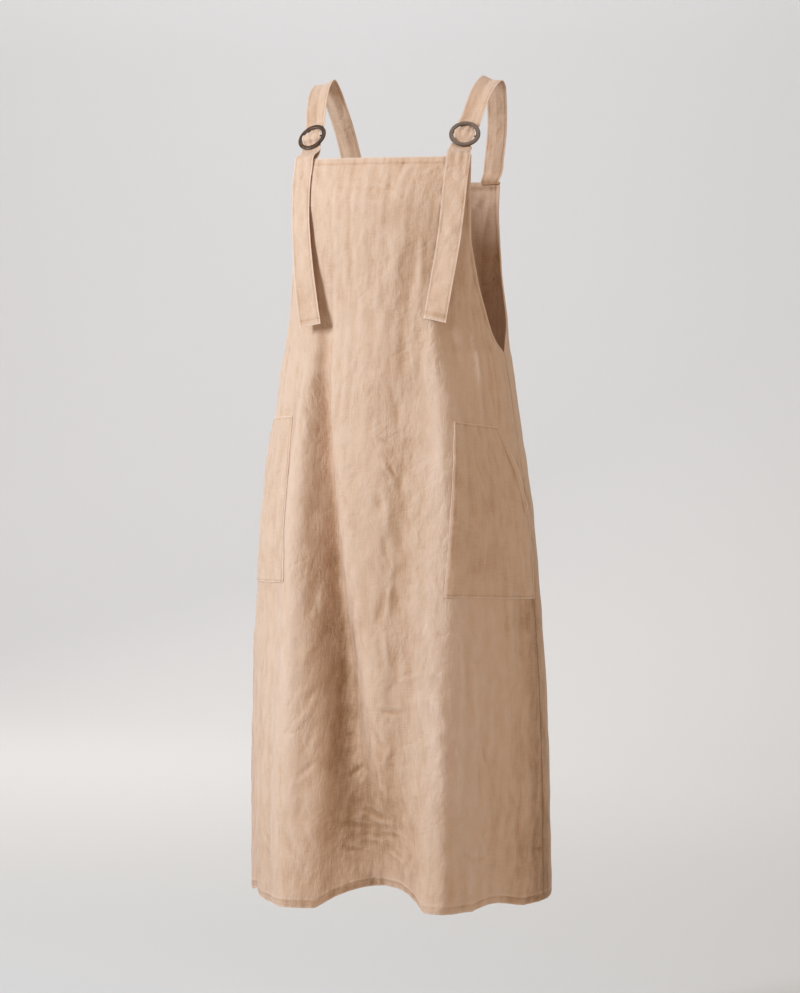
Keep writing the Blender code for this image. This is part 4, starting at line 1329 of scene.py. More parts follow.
@dataclass(frozen=True)
class RingPlace:
    """Where the ring of one side is and how it is turned. The given vectors are the wearer's left."""

    side: Side
    centre: Triple = (0.1122, -0.0493, -0.0790)
    face: Triple = (0.20, -0.79, 0.58)
    rise: Triple = (0.08, 0.62, 0.78)
    radius: float = 0.0185
    band: float = 0.0030
    depth: float = 0.0015
    bar: float = 0.0012
    bar_back: float = 0.0008

    def axes(self) -> tuple[Array, Array, Array, Array]:
        """Centre, and the directions along the crossbar outwards, up the strap, and out."""
        mirror = np.array([self.side.value, 1.0, 1.0])
        face = unit(mirror * np.array(self.face))
        rise = mirror * np.array(self.rise)
        rise = unit(rise - face * rise.dot(face))
        return mirror * np.array(self.centre), self.side.value * np.cross(rise, face), rise, face

    def point(self, along: Array, rise: Array | float, face: Array | float) -> Array:
        """World points from distances along the ring's three directions."""
        centre, along_axis, rise_axis, face_axis = self.axes()
        along, rise, face = np.broadcast_arrays(along, rise, face)
        point = along[..., None] * along_axis + rise[..., None] * rise_axis + face[..., None] * face_axis
        return centre + point


@dataclass
class RingSlide:
    """A flat round ring with a crossbar, its edges softly rounded."""

    place: RingPlace
    around: int = 144
    section: int = 28
    bar_sides: int = 20
    bar_rows: int = 5
    squareness: float = 0.55

    def build(self, horn: Material) -> Thing:
        """Builds ring and crossbar.

        The band's section is a squared-off ellipse: the signed cosine and sine to the power
        `squareness`, times half the band's width and depth. It is carried round a circle.

        Args:
            horn: the slide's material.

        Returns:
            The slide's object.
        """
        place = self.place
        turn, ring, bar = (
            np.linspace(0.0, 2 * math.pi, count, endpoint=False)
            for count in (self.around, self.section, self.bar_sides)
        )
        wide = np.sign(np.cos(ring)) * np.abs(np.cos(ring)) ** self.squareness
        deep = np.sign(np.sin(ring)) * np.abs(np.sin(ring)) ** self.squareness
        radius = place.radius + place.band * wide
        spokes = turn[:, None]
        band = place.point(radius * np.cos(spokes), radius * np.sin(spokes), place.depth * deep)
        ends = np.linspace(-place.radius, place.radius, self.bar_rows)[:, None]
        rod = place.point(ends, place.bar * np.sin(bar), place.bar * np.cos(bar) - place.bar_back)
        cloud = np.concatenate([band.reshape(-1, 3), rod.reshape(-1, 3)])
        faces = self.tube(self.around, self.section, 0, ring=True)
        faces += self.tube(self.bar_rows, self.bar_sides, self.around * self.section, ring=False)
        name = f"slide_{place.side.label}"
        thing = new_object(f"{name}_ring", cloud, faces, cloud[:, [0, 2]], horn)
        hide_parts(name)
        return thing

    @staticmethod
    def tube(rows: int, columns: int, first: int, ring: bool) -> list:
        """Faces of a tube over a grid of points, its rows once round it."""
        index = np.arange(rows * columns).reshape(rows, columns) + first
        if ring:
            index = np.concatenate([index, index[:1]])
        beside = np.roll(index, -1, axis=1)
        corners = [index[:-1], index[1:], beside[1:], beside[:-1]]
        faces = np.stack(corners, axis=-1).reshape(-1, 4).tolist()
        return faces if ring else [*faces, index[0].tolist(), index[-1, ::-1].tolist()]


@dataclass(frozen=True)
class Station:
    """One place along a strap over the shoulder, given for the wearer's left side.

    `yaw` turns the strap's outer edge back and `fall` turns it down, both in degrees.
    """

    x: float
    y: float
    z: float
    yaw: float
    fall: float


SHOULDER = (
    #        x        y        z      yaw   fall
    Station(0.1145, -0.0289, -0.0580, 10.0, 0.0),
    Station(0.1175, -0.0190, -0.0410, 7.0, 1.0),
    Station(0.1197, -0.0080, -0.0255, 5.0, 4.0),
    Station(0.1217, 0.0030, -0.0141, 1.0, 10.0),
    Station(0.1233, 0.0165, -0.0049, -2.0, 13.0),
    Station(0.1247, 0.0355, 0.0010, -6.0, 15.0),
    Station(0.1238, 0.0510, -0.0089, -7.0, 8.0),
    Station(0.1215, 0.0602, -0.0218, -9.0, 3.0),
    Station(0.1183, 0.0720, -0.0418, -7.0, 1.0),
    Station(0.1145, 0.0830, -0.0650, -7.0, 0.0),
    Station(0.1073, 0.0924, -0.1050, -8.0, 0.0),
    Station(0.1030, 0.0958, -0.1280, -9.0, 0.0),
)


@dataclass(frozen=True)
class Hang:
    """One level of a strap's loose end: its middle, its turns and its least distance to the bib."""

    drop: float
    x: float
    yaw: float
    fall: float
    gap: float


LOOSE_END = {
    Side.LEFT: (
        #    drop    x     yaw   fall    gap
        Hang(0.334, 0.0960, -2.0, 11.0, 0.0030),
        Hang(0.280, 0.1030, -1.0, 9.0, 0.0025),
        Hang(0.223, 0.1110, 2.0, 8.0, 0.0020),
        Hang(0.171, 0.1145, 8.0, 5.0, 0.0015),
        Hang(0.145, 0.1142, 12.0, 2.0, 0.0015),
        Hang(0.123, 0.1133, 17.0, 1.0, 0.0012),
        Hang(0.108, 0.1128, 19.0, 3.0, 0.0012),
    ),
    Side.RIGHT: (
        Hang(0.341, 0.0800, 8.0, 10.0, 0.0150),
        Hang(0.280, 0.0925, 11.0, 9.0, 0.0110),
        Hang(0.223, 0.1018, 20.0, 6.0, 0.0060),
        Hang(0.171, 0.1080, 22.0, 3.0, 0.0022),
        Hang(0.145, 0.1105, 20.0, 1.0, 0.0015),
        Hang(0.123, 0.1118, 19.0, 1.0, 0.0012),
        Hang(0.108, 0.1122, 19.0, 3.0, 0.0012),
    ),
}

# Rows between the bib and the shoulder, in the ring's own frame: distances up from the crossbar
# for the strap's lower half in the ring, and (up, out) for the tab below its loop.
STRAP_RISES = (-0.0240, -0.0185, -0.0125, -0.0098, -0.0082, -0.0066, -0.0050, -0.0034, -0.0012)
TAB_LEGS = ((-0.0055, -0.0033), (-0.0098, -0.0050), (-0.0185, -0.0054), (-0.0265, -0.0052))


def spline_rows(rows: list[Array], spacing: float) -> Array:
    """Rows between the given ones on a smooth curve through them, evenly spaced by length."""
    rows = np.asarray(rows)
    length = running_length(rows.mean(axis=1))
    slopes = np.gradient(rows, length, axis=0)
    count = 2 * math.ceil(length[-1] / spacing / 2) + 1
    where = np.linspace(0.0, length[-1], count)
    row = np.clip(np.searchsorted(length, where, side="right") - 1, 0, len(length) - 2)
    gap = np.diff(length)[row][:, None, None]
    part = (where - length[row])[:, None, None] / gap
    return hermite(part, gap, (rows[row], rows[row + 1]), (slopes[row], slopes[row + 1]))


def tucked_row(panel: Panel, x: Array, drop: float, inside: float) -> Array:
    """A row of points inside a panel."""
    turn = panel.turn_at(x, drop)
    return panel.base(turn, drop) - inside * panel.base_normal(turn, drop)


@dataclass
class Strap:
    """A strap: a flat tube of linen from its loose end, through the ring, to the inside of the back.

    Lengths along it start at the loose end. A pair of lengths says where something starts and how
    much further on it is full.
    """

    side: Side
    ring: RingPlace
    front: Panel
    back: Panel
    flat_length: float
    seed: int
    half: float = 0.0165
    folded: float = 0.0152  # half width once it is creased along its middle
    cloth: float = 0.0015
    crease: float = 0.0032
    bar_loop: float = 0.0023  # outer radius of the tab's loop round the crossbar
    tuck: float = 0.004
    sewn_x: float = 0.1008
    sewn_half: float = 0.0142
    dive: float = 0.0098
    slope: float = 0.0064
    spread: float = 0.0090
    cad_edge: float = 0.0026
    columns: int = 33
    spacing: float = 0.0021
    edge_line: float = 0.0020
    end_hem: float = 0.0085
    crumple: float = 0.00045
    tail_crumple: float = 0.00085  # added in the loose end
    tail_end: Pair = (0.205, 0.030)
    ring_start: Pair = (0.215, 0.020)
    ring_end: Pair = (0.300, 0.040)
    sewn_end: float = 0.030
    stiff_edge: float = 0.006
    ring_at: float = 0.258
    ring_half: float = 0.016
    gather: float = 0.0011
    gather_reach: float = 0.055
    gather_waves: float = 7.4

    def width_direction(self, yaw: float, fall: float) -> Array:
        """Direction from the strap's inner edge to its outer edge."""
        yaw, fall = math.radians(yaw), math.radians(fall)
        level = math.cos(fall)
        return np.array([self.side.value * math.cos(yaw) * level, math.sin(yaw) * level, -math.sin(fall)])

    def loose_rows(self, across: Array) -> list[Array]:
        """Middle surface of the loose end: flat rows that hang clear of the bib."""
        rows = []
        for hang in LOOSE_END[self.side]:
            width = self.width_direction(hang.yaw, hang.fall)
            middle = np.array([self.side.value * hang.x, 0.0, -hang.drop])
            row = middle + self.half * across[:, None] * width
            bib = self.front.base(self.front.turn_at(row[:, 0], -row[:, 2]), -row[:, 2])
            clear = (hang.gap + self.cloth / 2) / math.cos(math.radians(hang.yaw))
            row[:, 1] += (bib[:, 1] - row[:, 1]).min() - clear
            rows.append(row)
        return rows

    def ring_rows(self, across: Array) -> list[Array]:
        """Middle surface through the ring: behind the band, over the crossbar, behind the band."""
        behind = self.ring.depth + SEAM_GAP + self.cloth / 2 + STEP
        over_bar = self.bar_loop - self.ring.bar_back + SEAM_GAP + self.cloth / 2 + STEP
        hole = self.ring.radius - self.ring.band - SEAM_GAP - self.cloth / 2
        rows = []
        for rise in (*STRAP_RISES, *[-rise for rise in reversed(STRAP_RISES)]):
            away = abs(rise)
            chord = math.sqrt(max(hole**2 - away**2, 0.0))
            half = chord + (self.folded - chord) * rising(away, self.dive, self.spread)
            over = ease((self.dive - away) / self.slope)
            rows.append(self.ring.point(half * across, rise, (over_bar + behind) * over - behind))
        return rows

    def shoulder_rows(self, across: Array) -> list[Array]:
        """Middle surface over the shoulder, creased along its middle."""
        mirror = np.array([self.side.value, 1.0, 1.0])
        places = mirror * np.array([(place.x, place.y, place.z) for place in SHOULDER])
        runs = np.gradient(places, axis=0)
        dent = self.crease * (0.5 - np.abs(across))
        rows = []
        for place, middle, run in zip(SHOULDER, places, runs):
            width = self.width_direction(place.yaw, place.fall)
            inward = self.side.value * unit(np.cross(run, width))
            rows.append(middle + self.folded * across[:, None] * width + dent[:, None] * inward)
        return rows

    def tuck_rows(self, across: Array) -> list[Array]:
        """Middle surface of the end that is sewn to the inside of the back."""
        x = self.side.value * (self.sewn_x + across * self.sewn_half)
        inside = self.cad_edge + SEAM_GAP + self.cloth / 2
        return [tucked_row(self.back, x, BACK_DROP + below, inside) for below in (0.0005, self.tuck)]

    def across(self) -> Array:
        """Places across the strap."""
        even = np.linspace(0.0, 1.0, (self.columns + 1) // 2)
        line = 0.35 * np.sin(even * math.pi / 2) + 0.65 * even
        return np.concatenate([-line[::-1], line[1:]])

    def lift(self, crumple: Array, across: Array, length: Array) -> Array:
        """How far the crumple and the gathers at the ring move the strap along its normals."""
        tail = 1.0 - rising(length, *self.tail_end)
        free = 1.0 - rising(length, *self.ring_start) + rising(length, *self.ring_end)
        ends = ease(length / 0.012) * ease((length[-1] - length) / self.sewn_end)
        strength = (self.crumple + self.tail_crumple * tail) * np.clip(free, 0.0, 1.0) * ends
        stiff = 0.30 + 0.70 * ease((1.0 - np.abs(across)) * self.half / self.stiff_edge)
        waves = np.sin(self.gather_waves * across + 0.6 * self.seed) * np.clip(1.0 - across**2, 0.0, 1.0)
        near = bell(length, self.ring_at, self.gather_reach)
        near = near * (np.abs(length - self.ring_at) > self.ring_half)
        return crumple * strength * stiff + self.gather * near * waves

    def thickness(self, from_edge: Array, length: Array) -> Array:
        """Share of the full wall: thin at the edges, with dips along the stitches and the end's hem."""
        share = 1.0 - 0.45 * bell(from_edge / 0.0009) - 0.35 * bell(from_edge, self.edge_line, 0.0009)
        share = share - 0.35 * bell(length, self.end_hem, 0.0012) - 0.40 * bell(length / 0.0012)
        return np.clip(share, 0.3, 1.0)

    def wear_and_shade(self, crumple: Array, from_edge: Array, length: Array) -> Array:
        """Wear of the strap with painted shade: rubbed edges with painted shade along their stitches, the
        same at the hemmed end, paler crumple crests with painted shade in their hollows, painted shade where
        it is sewn in, and on the face towards the body.
        """
        wear_and_shade = 0.08 * crumple + rim_wear_and_line_shade(from_edge, self.edge_line + 0.0009)
        wear_and_shade += rim_wear_and_line_shade(length, self.end_hem) - 0.6 * bell((length[-1] - length) / 0.009)
        # painted shade on the face towards the body: here the wearer's left strap's first face, evened out on
        # its other face by the inner shade
        return wear_and_shade - 0.1 * (1.0 + self.side.value)

    def build(self, linen: Material, thread: Material) -> Thing:
        """Builds the strap's cloth and its stitches.

        Args:
            linen: the cloth.
            thread: the stitches' thread.

        Returns:
            The cloth's object.
        """
        across = self.across()
        rows = self.loose_rows(across) + self.ring_rows(across)
        rows += self.shoulder_rows(across) + self.tuck_rows(across)
        grid = spline_rows(rows, self.spacing)
        length = running_length(grid.mean(axis=1))
        along, from_edge = length[:, None], (1.0 - np.abs(across)) * self.half
        rng = np.random.default_rng(self.seed)
        crumple = 0.55 * soft_noise(rng, grid.shape[:2], (13.0, 14.0))
        crumple += 0.22 * soft_noise(rng, grid.shape[:2], (5.0, 9.0))
        left, right = thicken(grid, 1.0)
        grid = grid + self.lift(crumple, across, along)[..., None] * unit(left - right)
        one, other = thicken(grid, self.cloth / 2 * self.thickness(from_edge, along))
        uv = flat_map(across * self.half, along)
        # the inner shade puts painted shade on the wearer's right strap's face towards the body, and takes
        # back the left one's
        wall = Wall(one, other[::2, ::2], uv, self.wear_and_shade(crumple, from_edge, along), 0.2 * self.side.value)
        name = f"strap_{self.side.label}"
        thing = cloth_piece(f"{name}_cloth", wall, linen, name)
        stitches = sew(f"{name}_stitches", self.seams(one, other, across, length), thread)
        log.info("%s: %.3f m long", thing.name, length[-1])
        return thing

    def seams(self, one: Array, other: Array, across: Array, length: Array) -> list[Seam]:
        """Stitches along both edges on both faces, and across the loose end's hem."""
        seams = []
        normal = unit(one - other)
        keep = (length > 0.003) & (length < length[-1] - 0.004)
        row = int(np.abs(length - self.end_hem).argmin())
        column = self.edge_line / self.half
        for face, sign in ((one, 1.0), (other, -1.0)):
            for where in (-1.0 + column, 1.0 - column):
                nearest = int(np.abs(across - where).argmin())
                seams.append(Seam(face[keep, nearest], sign * normal[keep, nearest]))
            seams.append(Seam(face[row, 2:-2], sign * normal[row, 2:-2]))
        return seams


@dataclass
class Tab:
    """The short tab of two layers: from the inside of the bib up round the ring's crossbar and back."""

    side: Side
    ring: RingPlace
    front: Panel
    layer: float = 0.0008
    parted: float = 0.00052  # half of the distance between the two layers' middles
    half: float = 0.0150
    pinch: float = 0.0108
    tuck: float = 0.009
    sewn_x: float = 0.1115
    cad_edge: float = 0.0026
    cad_half: float = 0.0010  # half of the solid tab's thickness
    edge_line: float = 0.0025
    columns: int = 25
    loop_rows: int = 13
    loop_ends: Pair = (225.0, -45.0)
    spacing: float = 0.0007

    def middle_rows(self, across: Array) -> list[Array]:
        """Surface between the two layers, from the crossbar down to the inside of the bib."""
        rows = [self.ring.point(self.pinch * across, 0.0, -self.ring.bar_back)]
        for step, leg in enumerate(TAB_LEGS):
            half = self.pinch + (self.half - self.pinch) * step / len(TAB_LEGS)
            rows.append(self.ring.point(half * across, *leg))
        x = self.side.value * (self.sewn_x + across * self.half)
        inside = self.cad_edge + SEAM_GAP + self.cad_half
        rows += [tucked_row(self.front, x, BIB_DROP + below, inside) for below in (0.0005, self.tuck)]
        return rows

    def ribbon(self, across: Array) -> Array:
        """The cloth's middle as one ribbon: up the back, round the crossbar and down the front again."""
        one, other = thicken(np.array(self.middle_rows(across)), self.parted)
        forward = float((one[2] - other[2]).mean(axis=0).dot(self.ring.axes()[3])) > 0.0
        front, back = (one, other) if forward else (other, one)
        radius = self.ring.bar + SEAM_GAP + self.layer / 2
        loop = []
        for angle in np.radians(np.linspace(*self.loop_ends, self.loop_rows)):
            face = radius * math.cos(angle) - self.ring.bar_back
            loop.append(self.ring.point(self.pinch * across, radius * math.sin(angle), face))
        return spline_rows([*back[:1:-1], *loop, *front[2:]], self.spacing)

    def build(self, linen: Material) -> Thing:
        """Builds the tab.

        Args:
            linen: the cloth.

        Returns:
            The tab's object.
        """
        across = np.linspace(-1.0, 1.0, self.columns)
        ribbon = self.ribbon(across)
        one, other = thicken(ribbon, self.layer / 2)
        length = running_length(ribbon.mean(axis=1))
        uv = flat_map(across * self.half, length[:, None])
        # rubbed pale rims, with painted shade along the lines of stitches
        wear_and_shade = rim_wear_and_line_shade((1.0 - np.abs(across)) * self.half, self.edge_line)
        wall = Wall(one, other[::2, ::2], uv, np.broadcast_to(wear_and_shade, uv.shape[:2]))
        name = f"tab_{self.side.label}"
        thing = cloth_piece(f"{name}_cloth", wall, linen, name)
        log.info("%s: %.3f m long", thing.name, length[-1])
        return thing


# ---------------------------------------------------------------- finishes


def add_node(
    tree: Tree,
    kind: str,
    settings: dict | None = None,
    links: dict | None = None,
    stops: tuple[tuple[float, str], ...] = (),
) -> bpy.types.Node:
    """Adds one node, sets its properties and sockets, and links sockets into it.

    Args:
        tree: the material's node tree.
        kind: the node's type name after ShaderNode.
        settings: property names, or input names or numbers, with their values.
        links: input names or numbers with the output sockets that feed them.
        stops: a colour ramp's places and hex colours, in order.

    Returns:
        The new node.
    """
    node = tree.nodes.new(f"ShaderNode{kind}")
    for key, value in (settings or {}).items():
        if isinstance(key, str) and hasattr(node, key):
            setattr(node, key, value)
        else:
            node.inputs[key].default_value = value
    for key, socket in (links or {}).items():
        tree.links.new(socket, node.inputs[key])
    if stops:
        elements = node.color_ramp.elements
        for element, (place, colour) in zip(elements, (stops[0], stops[-1])):
            element.position, element.color = place, linear(colour)
        for place, colour in stops[1:-1]:
            elements.new(place).color = linear(colour)
    return node


def new_material(name: str, settings: dict[str, float]) -> tuple[Material, Tree, bpy.types.Node]:
    """Makes a material and sets its shader's own sockets."""
    material = bpy.data.materials.new(name)
    material.use_nodes = True
    shader = material.node_tree.nodes["Principled BSDF"]
    for key, value in settings.items():
        shader.inputs[key].default_value = value
    return material, material.node_tree, shader


@dataclass(frozen=True)
class WashedLinen:
    """Plain-weave flax linen, piece-dyed and washed soft.

    The yarn is uneven: thick slubs show as thin streaks along warp and weft. The real thread pitch is
    0.6 mm. It is drawn at 0.9 mm so that it can show, and the slubs are about 1.5 mm wide. The washed
    cloth is matt, with a faint bloom of short fibres, and pale where it is rubbed. Its hollows, seams and
    shaded places are painted shade down to the deep colour, and a few places get painted light.
    A size is a width across the weft and a length along the warp.
    """

    deep: str = "#a07a57"
    shade: str = "#c9a588"
    ground: str = "#d6b69b"
    light: str = "#dbbda6"
    rubbed: str = "#e8cfb9"
    thread_pitch_mm: float = 0.9
    warp_slub_mm: Pair = (1.5, 36.0)
    weft_slub_mm: Pair = (17.0, 1.4)
    cloud_mm: Pair = (60.0, 60.0)
    patch_mm: Pair = (95.0, 130.0)
    slub_height_mm: float = 0.20
    thread_height_mm: float = 0.045
    # size in mm, angle in degrees, height in mm
    crumples: tuple = (((11.0, 26.0), 0.0, 2.0), ((5.0, 11.0), 8.0, 0.90), ((2.6, 8.0), -4.0, 0.60))
    creases: tuple = (((30.0, 75.0), 6.0, -0.46), ((22.0, 48.0), -34.0, -0.36), ((24.0, 50.0), 62.0, -0.32))
    crease_half: float = 0.09  # half of a crease line's width, as a difference of its noise

    def build(self) -> Material:
        """Builds the material on the piece's own UV map, in metres.

        Returns:
            The cloth's material.
        """
        gloss = {"Roughness": 0.86, "Specular IOR Level": 0.22, "Sheen Weight": 0.3, "Sheen Roughness": 0.5}
        material, tree, shader = new_material("washed_linen", gloss)
        uv = add_node(tree, "UVMap", {"uv_map": UV_NAME}).outputs["UV"]
        slubs = {2: self.noise(tree, uv, self.warp_slub_mm), 3: self.noise(tree, uv, self.weft_slub_mm)}
        threads = add_node(tree, "Mix", {0: 0.45}, slubs).outputs[0]
        cloud = self.noise(tree, uv, self.cloud_mm)
        tone = add_node(tree, "Mix", {0: 0.35}, {2: threads, 3: cloud}).outputs[0]
        # the tone follows the largest crumple's height: paler on its crests, painted shade in its hollows
        rumple = self.noise(tree, uv, *self.crumples[0][:2], detail=3.0)
        tone = add_node(tree, "Mix", {0: 0.30}, {2: tone, 3: rumple}).outputs[0]
        # each point's rubbing and painted light and shade move it along the ramp
        wear_and_shade = add_node(tree, "Attribute", {"attribute_name": WEAR_AND_SHADE_NAME}).outputs["Fac"]
        treated = add_node(tree, "Math", {"operation": "MULTIPLY_ADD", 1: 0.5}, {0: wear_and_shade, 2: tone}).outputs[0]
        # deep is the colour of painted shade; rubbed is reached by rubbed rims and by painted light
        colours = (self.deep, self.shade, self.ground, self.light, self.rubbed)
        stops = tuple(zip((0.10, 0.34, 0.50, 0.66, 0.90), colours))
        ramp = add_node(tree, "ValToRGB", None, {"Fac": treated}, stops)
        tree.links.new(ramp.outputs["Color"], shader.inputs["Base Color"])
        height = {"Height": self.height(tree, uv, threads)}
        bump = add_node(tree, "Bump", {"Strength": 1.0, "Distance": 0.001}, height)
        tree.links.new(bump.outputs["Normal"], shader.inputs["Normal"])
        return material

    def height(self, tree: Tree, uv: Socket, threads: Socket) -> Socket:
        """Height of the cloth's face: slubs, weave, crumple and crease lines, added up.

        A large noise parts the cloth into rumpled patches and plain ones, where the slubs show more.

        Args:
            tree: the material's node tree.
            uv: the UV map.
            threads: the noise of the slubs.

        Returns:
            The height in millimetres.
        """
        patch = {0: self.noise(tree, uv, self.patch_mm)}
        rumpled = add_node(tree, "MapRange", {1: 0.40, 2: 0.60, 3: 0.40, 4: 1.0}, patch).outputs[0]
        plain = add_node(tree, "MapRange", {1: 0.38, 2: 0.52, 3: 3.2, 4: 1.0}, patch).outputs[0]
        raised = add_node(tree, "Math", {"operation": "MULTIPLY"}, {0: threads, 1: plain}).outputs[0]
        layers = [(raised, self.slub_height_mm), (self.weave(tree, uv), self.thread_height_mm)]
        for size, angle, rise in self.crumples:
            links = {0: self.noise(tree, uv, size, angle, detail=3.0), 1: rumpled}
            layers.append((add_node(tree, "Math", {"operation": "MULTIPLY"}, links).outputs[0], rise))
        for size, angle, rise in self.creases:
            layers.append((self.crease_lines(tree, uv, size, angle), rise))
        below = {}
        for value, rise in layers:
            settings = {"operation": "MULTIPLY_ADD", 1: rise, 2: 0.0}
            below = {2: add_node(tree, "Math", settings, {0: value, **below}).outputs[0]}
        return below[2]

    @staticmethod
    def noise(tree: Tree, uv: Socket, size_mm: Pair, angle: float = 0.0, detail: float = 2.0) -> Socket:
        """Noise with humps of a size, turned by an angle."""
        turned = add_node(tree, "Mapping", {"Rotation": (0.0, 0.0, math.radians(angle))}, {"Vector": uv})
        scale = (1000.0 / size_mm[0], 1000.0 / size_mm[1], 1.0)
        place = add_node(tree, "Mapping", {"Scale": scale}, {"Vector": turned.outputs["Vector"]})
        settings = {"Scale": 1.0, "Detail": detail, "Roughness": 0.55}
        return add_node(tree, "TexNoise", settings, {"Vector": place.outputs["Vector"]}).outputs["Fac"]

    def crease_lines(self, tree: Tree, uv: Socket, size_mm: Pair, angle: float) -> Socket:
        """Sharp crease lines that come and go over the cloth."""
        low, high = 0.5 - self.crease_half, 0.5 + self.crease_half
        path = {0: self.noise(tree, uv, size_mm, angle, detail=1.0)}
        rise = add_node(tree, "MapRange", {1: low, 2: 0.5, 3: 0.0, 4: 1.0}, path).outputs[0]
        fall = add_node(tree, "MapRange", {1: 0.5, 2: high, 3: 1.0, 4: 0.0}, path).outputs[0]
        line = add_node(tree, "Math", {"operation": "MINIMUM"}, {0: rise, 1: fall}).outputs[0]
        patch = {0: self.noise(tree, uv, (size_mm[1] * 0.9, size_mm[1] * 1.3), angle + 20.0)}
        here = add_node(tree, "MapRange", {1: 0.47, 2: 0.60, 3: 0.0, 4: 1.0}, patch).outputs[0]
        return add_node(tree, "Math", {"operation": "MULTIPLY"}, {0: line, 1: here}).outputs[0]

    def weave(self, tree: Tree, uv: Socket) -> Socket:
        """Height of the plain weave: the higher of the warp's and the weft's waves."""
        scale = 2 * math.pi / (20.0 * self.thread_pitch_mm / 1000.0)
        waves = {}
        for number, direction in enumerate(("X", "Y")):
            settings = {"bands_direction": direction, "Scale": scale, "Distortion": 1.4, "Detail": 1.0}
            waves[number] = add_node(tree, "TexWave", settings, {"Vector": uv}).outputs["Fac"]
        return add_node(tree, "Math", {"operation": "MAXIMUM"}, waves).outputs[0]


@dataclass(frozen=True)
class SewingThread:
    """Spun polyester thread in the cloth's colour, a shade lighter and smoother than the linen."""

    colour: str = "#e6ccb6"
    pale: str = "#f2dfce"

    def build(self) -> Material:
        """Builds the material, its tone slowly changing along the seams."""
        material, tree, shader = new_material("sewing_thread", {"Roughness": 0.7, "Specular IOR Level": 0.3})
        place = add_node(tree, "TexCoord").outputs["Object"]
        noise = add_node(tree, "TexNoise", {"Scale": 120.0, "Detail": 1.0}, {"Vector": place})
        stops = ((0.0, self.colour), (1.0, self.pale))
        ramp = add_node(tree, "ValToRGB", None, {"Fac": noise.outputs["Fac"]}, stops)
        tree.links.new(ramp.outputs["Color"], shader.inputs["Base Color"])
        return material


@dataclass(frozen=True)
class PolishedHorn:
    """Pressed horn, cut to a ring and buffed: brown, faintly streaked, with a satin gloss.

    The slide at the wearer's left is mixed towards a paler, greyer brown: a painted reflection of the bright
    room, which its face turns up to.
    """

    dark: str = "#3a291f"
    brown: str = "#664c3a"
    painted_sheen_colour: str = "#75614f"
    streak_mm: float = 5.0
    streak_stretch: float = 4.0
    painted_sheen_share: float = 0.6

    def build(self) -> Material:
        """Builds the material on Object coordinates.

        Returns:
            The slides' material.
        """
        material, tree, shader = new_material("polished_horn", {"Roughness": 0.36, "IOR": 1.50})
        place = add_node(tree, "TexCoord").outputs["Object"]
        scale = 1000.0 / self.streak_mm
        settings = {"Scale": (scale, scale, scale / self.streak_stretch)}
        stretch = add_node(tree, "Mapping", settings, {"Vector": place})
        settings = {"Scale": 1.0, "Detail": 3.0, "Roughness": 0.6, "Distortion": 0.8}
        noise = add_node(tree, "TexNoise", settings, {"Vector": stretch.outputs["Vector"]})
        streaks = noise.outputs["Fac"]
        ramp = add_node(tree, "ValToRGB", None, {"Fac": streaks}, ((0.35, self.dark), (0.70, self.brown)))
        # painted reflection: the slide at positive x is mixed towards the paler colour
        x = add_node(tree, "SeparateXYZ", None, {"Vector": place}).outputs["X"]
        side = add_node(tree, "MapRange", {1: -0.05, 2: 0.05, 3: 0.0, 4: self.painted_sheen_share}, {0: x})
        settings = {"data_type": "RGBA", 7: linear(self.painted_sheen_colour)}
        mix = add_node(tree, "Mix", settings, {0: side.outputs[0], 6: ramp.outputs["Color"]})
        tree.links.new(mix.outputs[2], shader.inputs["Base Color"])
        bump = add_node(tree, "Bump", {"Strength": 0.15, "Distance": 0.0002}, {"Height": streaks})
        tree.links.new(bump.outputs["Normal"], shader.inputs["Normal"])
        return material


@dataclass(frozen=True)
class StudioPaper:
    """Seamless background paper, uncoated: matt and pale grey, without a gloss of its own."""

    colour: str = "#d3d5d6"
    pale: str = "#d6d8d9"

    def build(self) -> Material:
        """Builds the material with a barely visible unevenness."""
        material, tree, shader = new_material("studio_paper", {"Roughness": 0.95, "Specular IOR Level": 0.1})
        place = add_node(tree, "TexCoord").outputs["Object"]
        noise = add_node(tree, "TexNoise", {"Scale": 0.8, "Detail": 1.0}, {"Vector": place})
        settings = {"data_type": "RGBA", 6: linear(self.colour), 7: linear(self.pale)}
        mix = add_node(tree, "Mix", settings, {0: noise.outputs["Fac"]})
        tree.links.new(mix.outputs[2], shader.inputs["Base Color"])
        return material


# ---------------------------------------------------------------- studio


@dataclass(frozen=True)
class SoftBox:
    """One soft light: where it stands, what it looks at, its size and power."""

    name: str
    place: Triple
    target: Triple
    size: Pair
    power: float
    colour: str

    def build(self) -> None:
        """Adds the area light."""
        light = bpy.data.lights.new(self.name, "AREA")
        light.shape = "RECTANGLE"
        light.size, light.size_y = self.size
        light.energy = self.power
        light.color = linear(self.colour)[:3]
        aim(link(self.name, light), self.place, self.target)


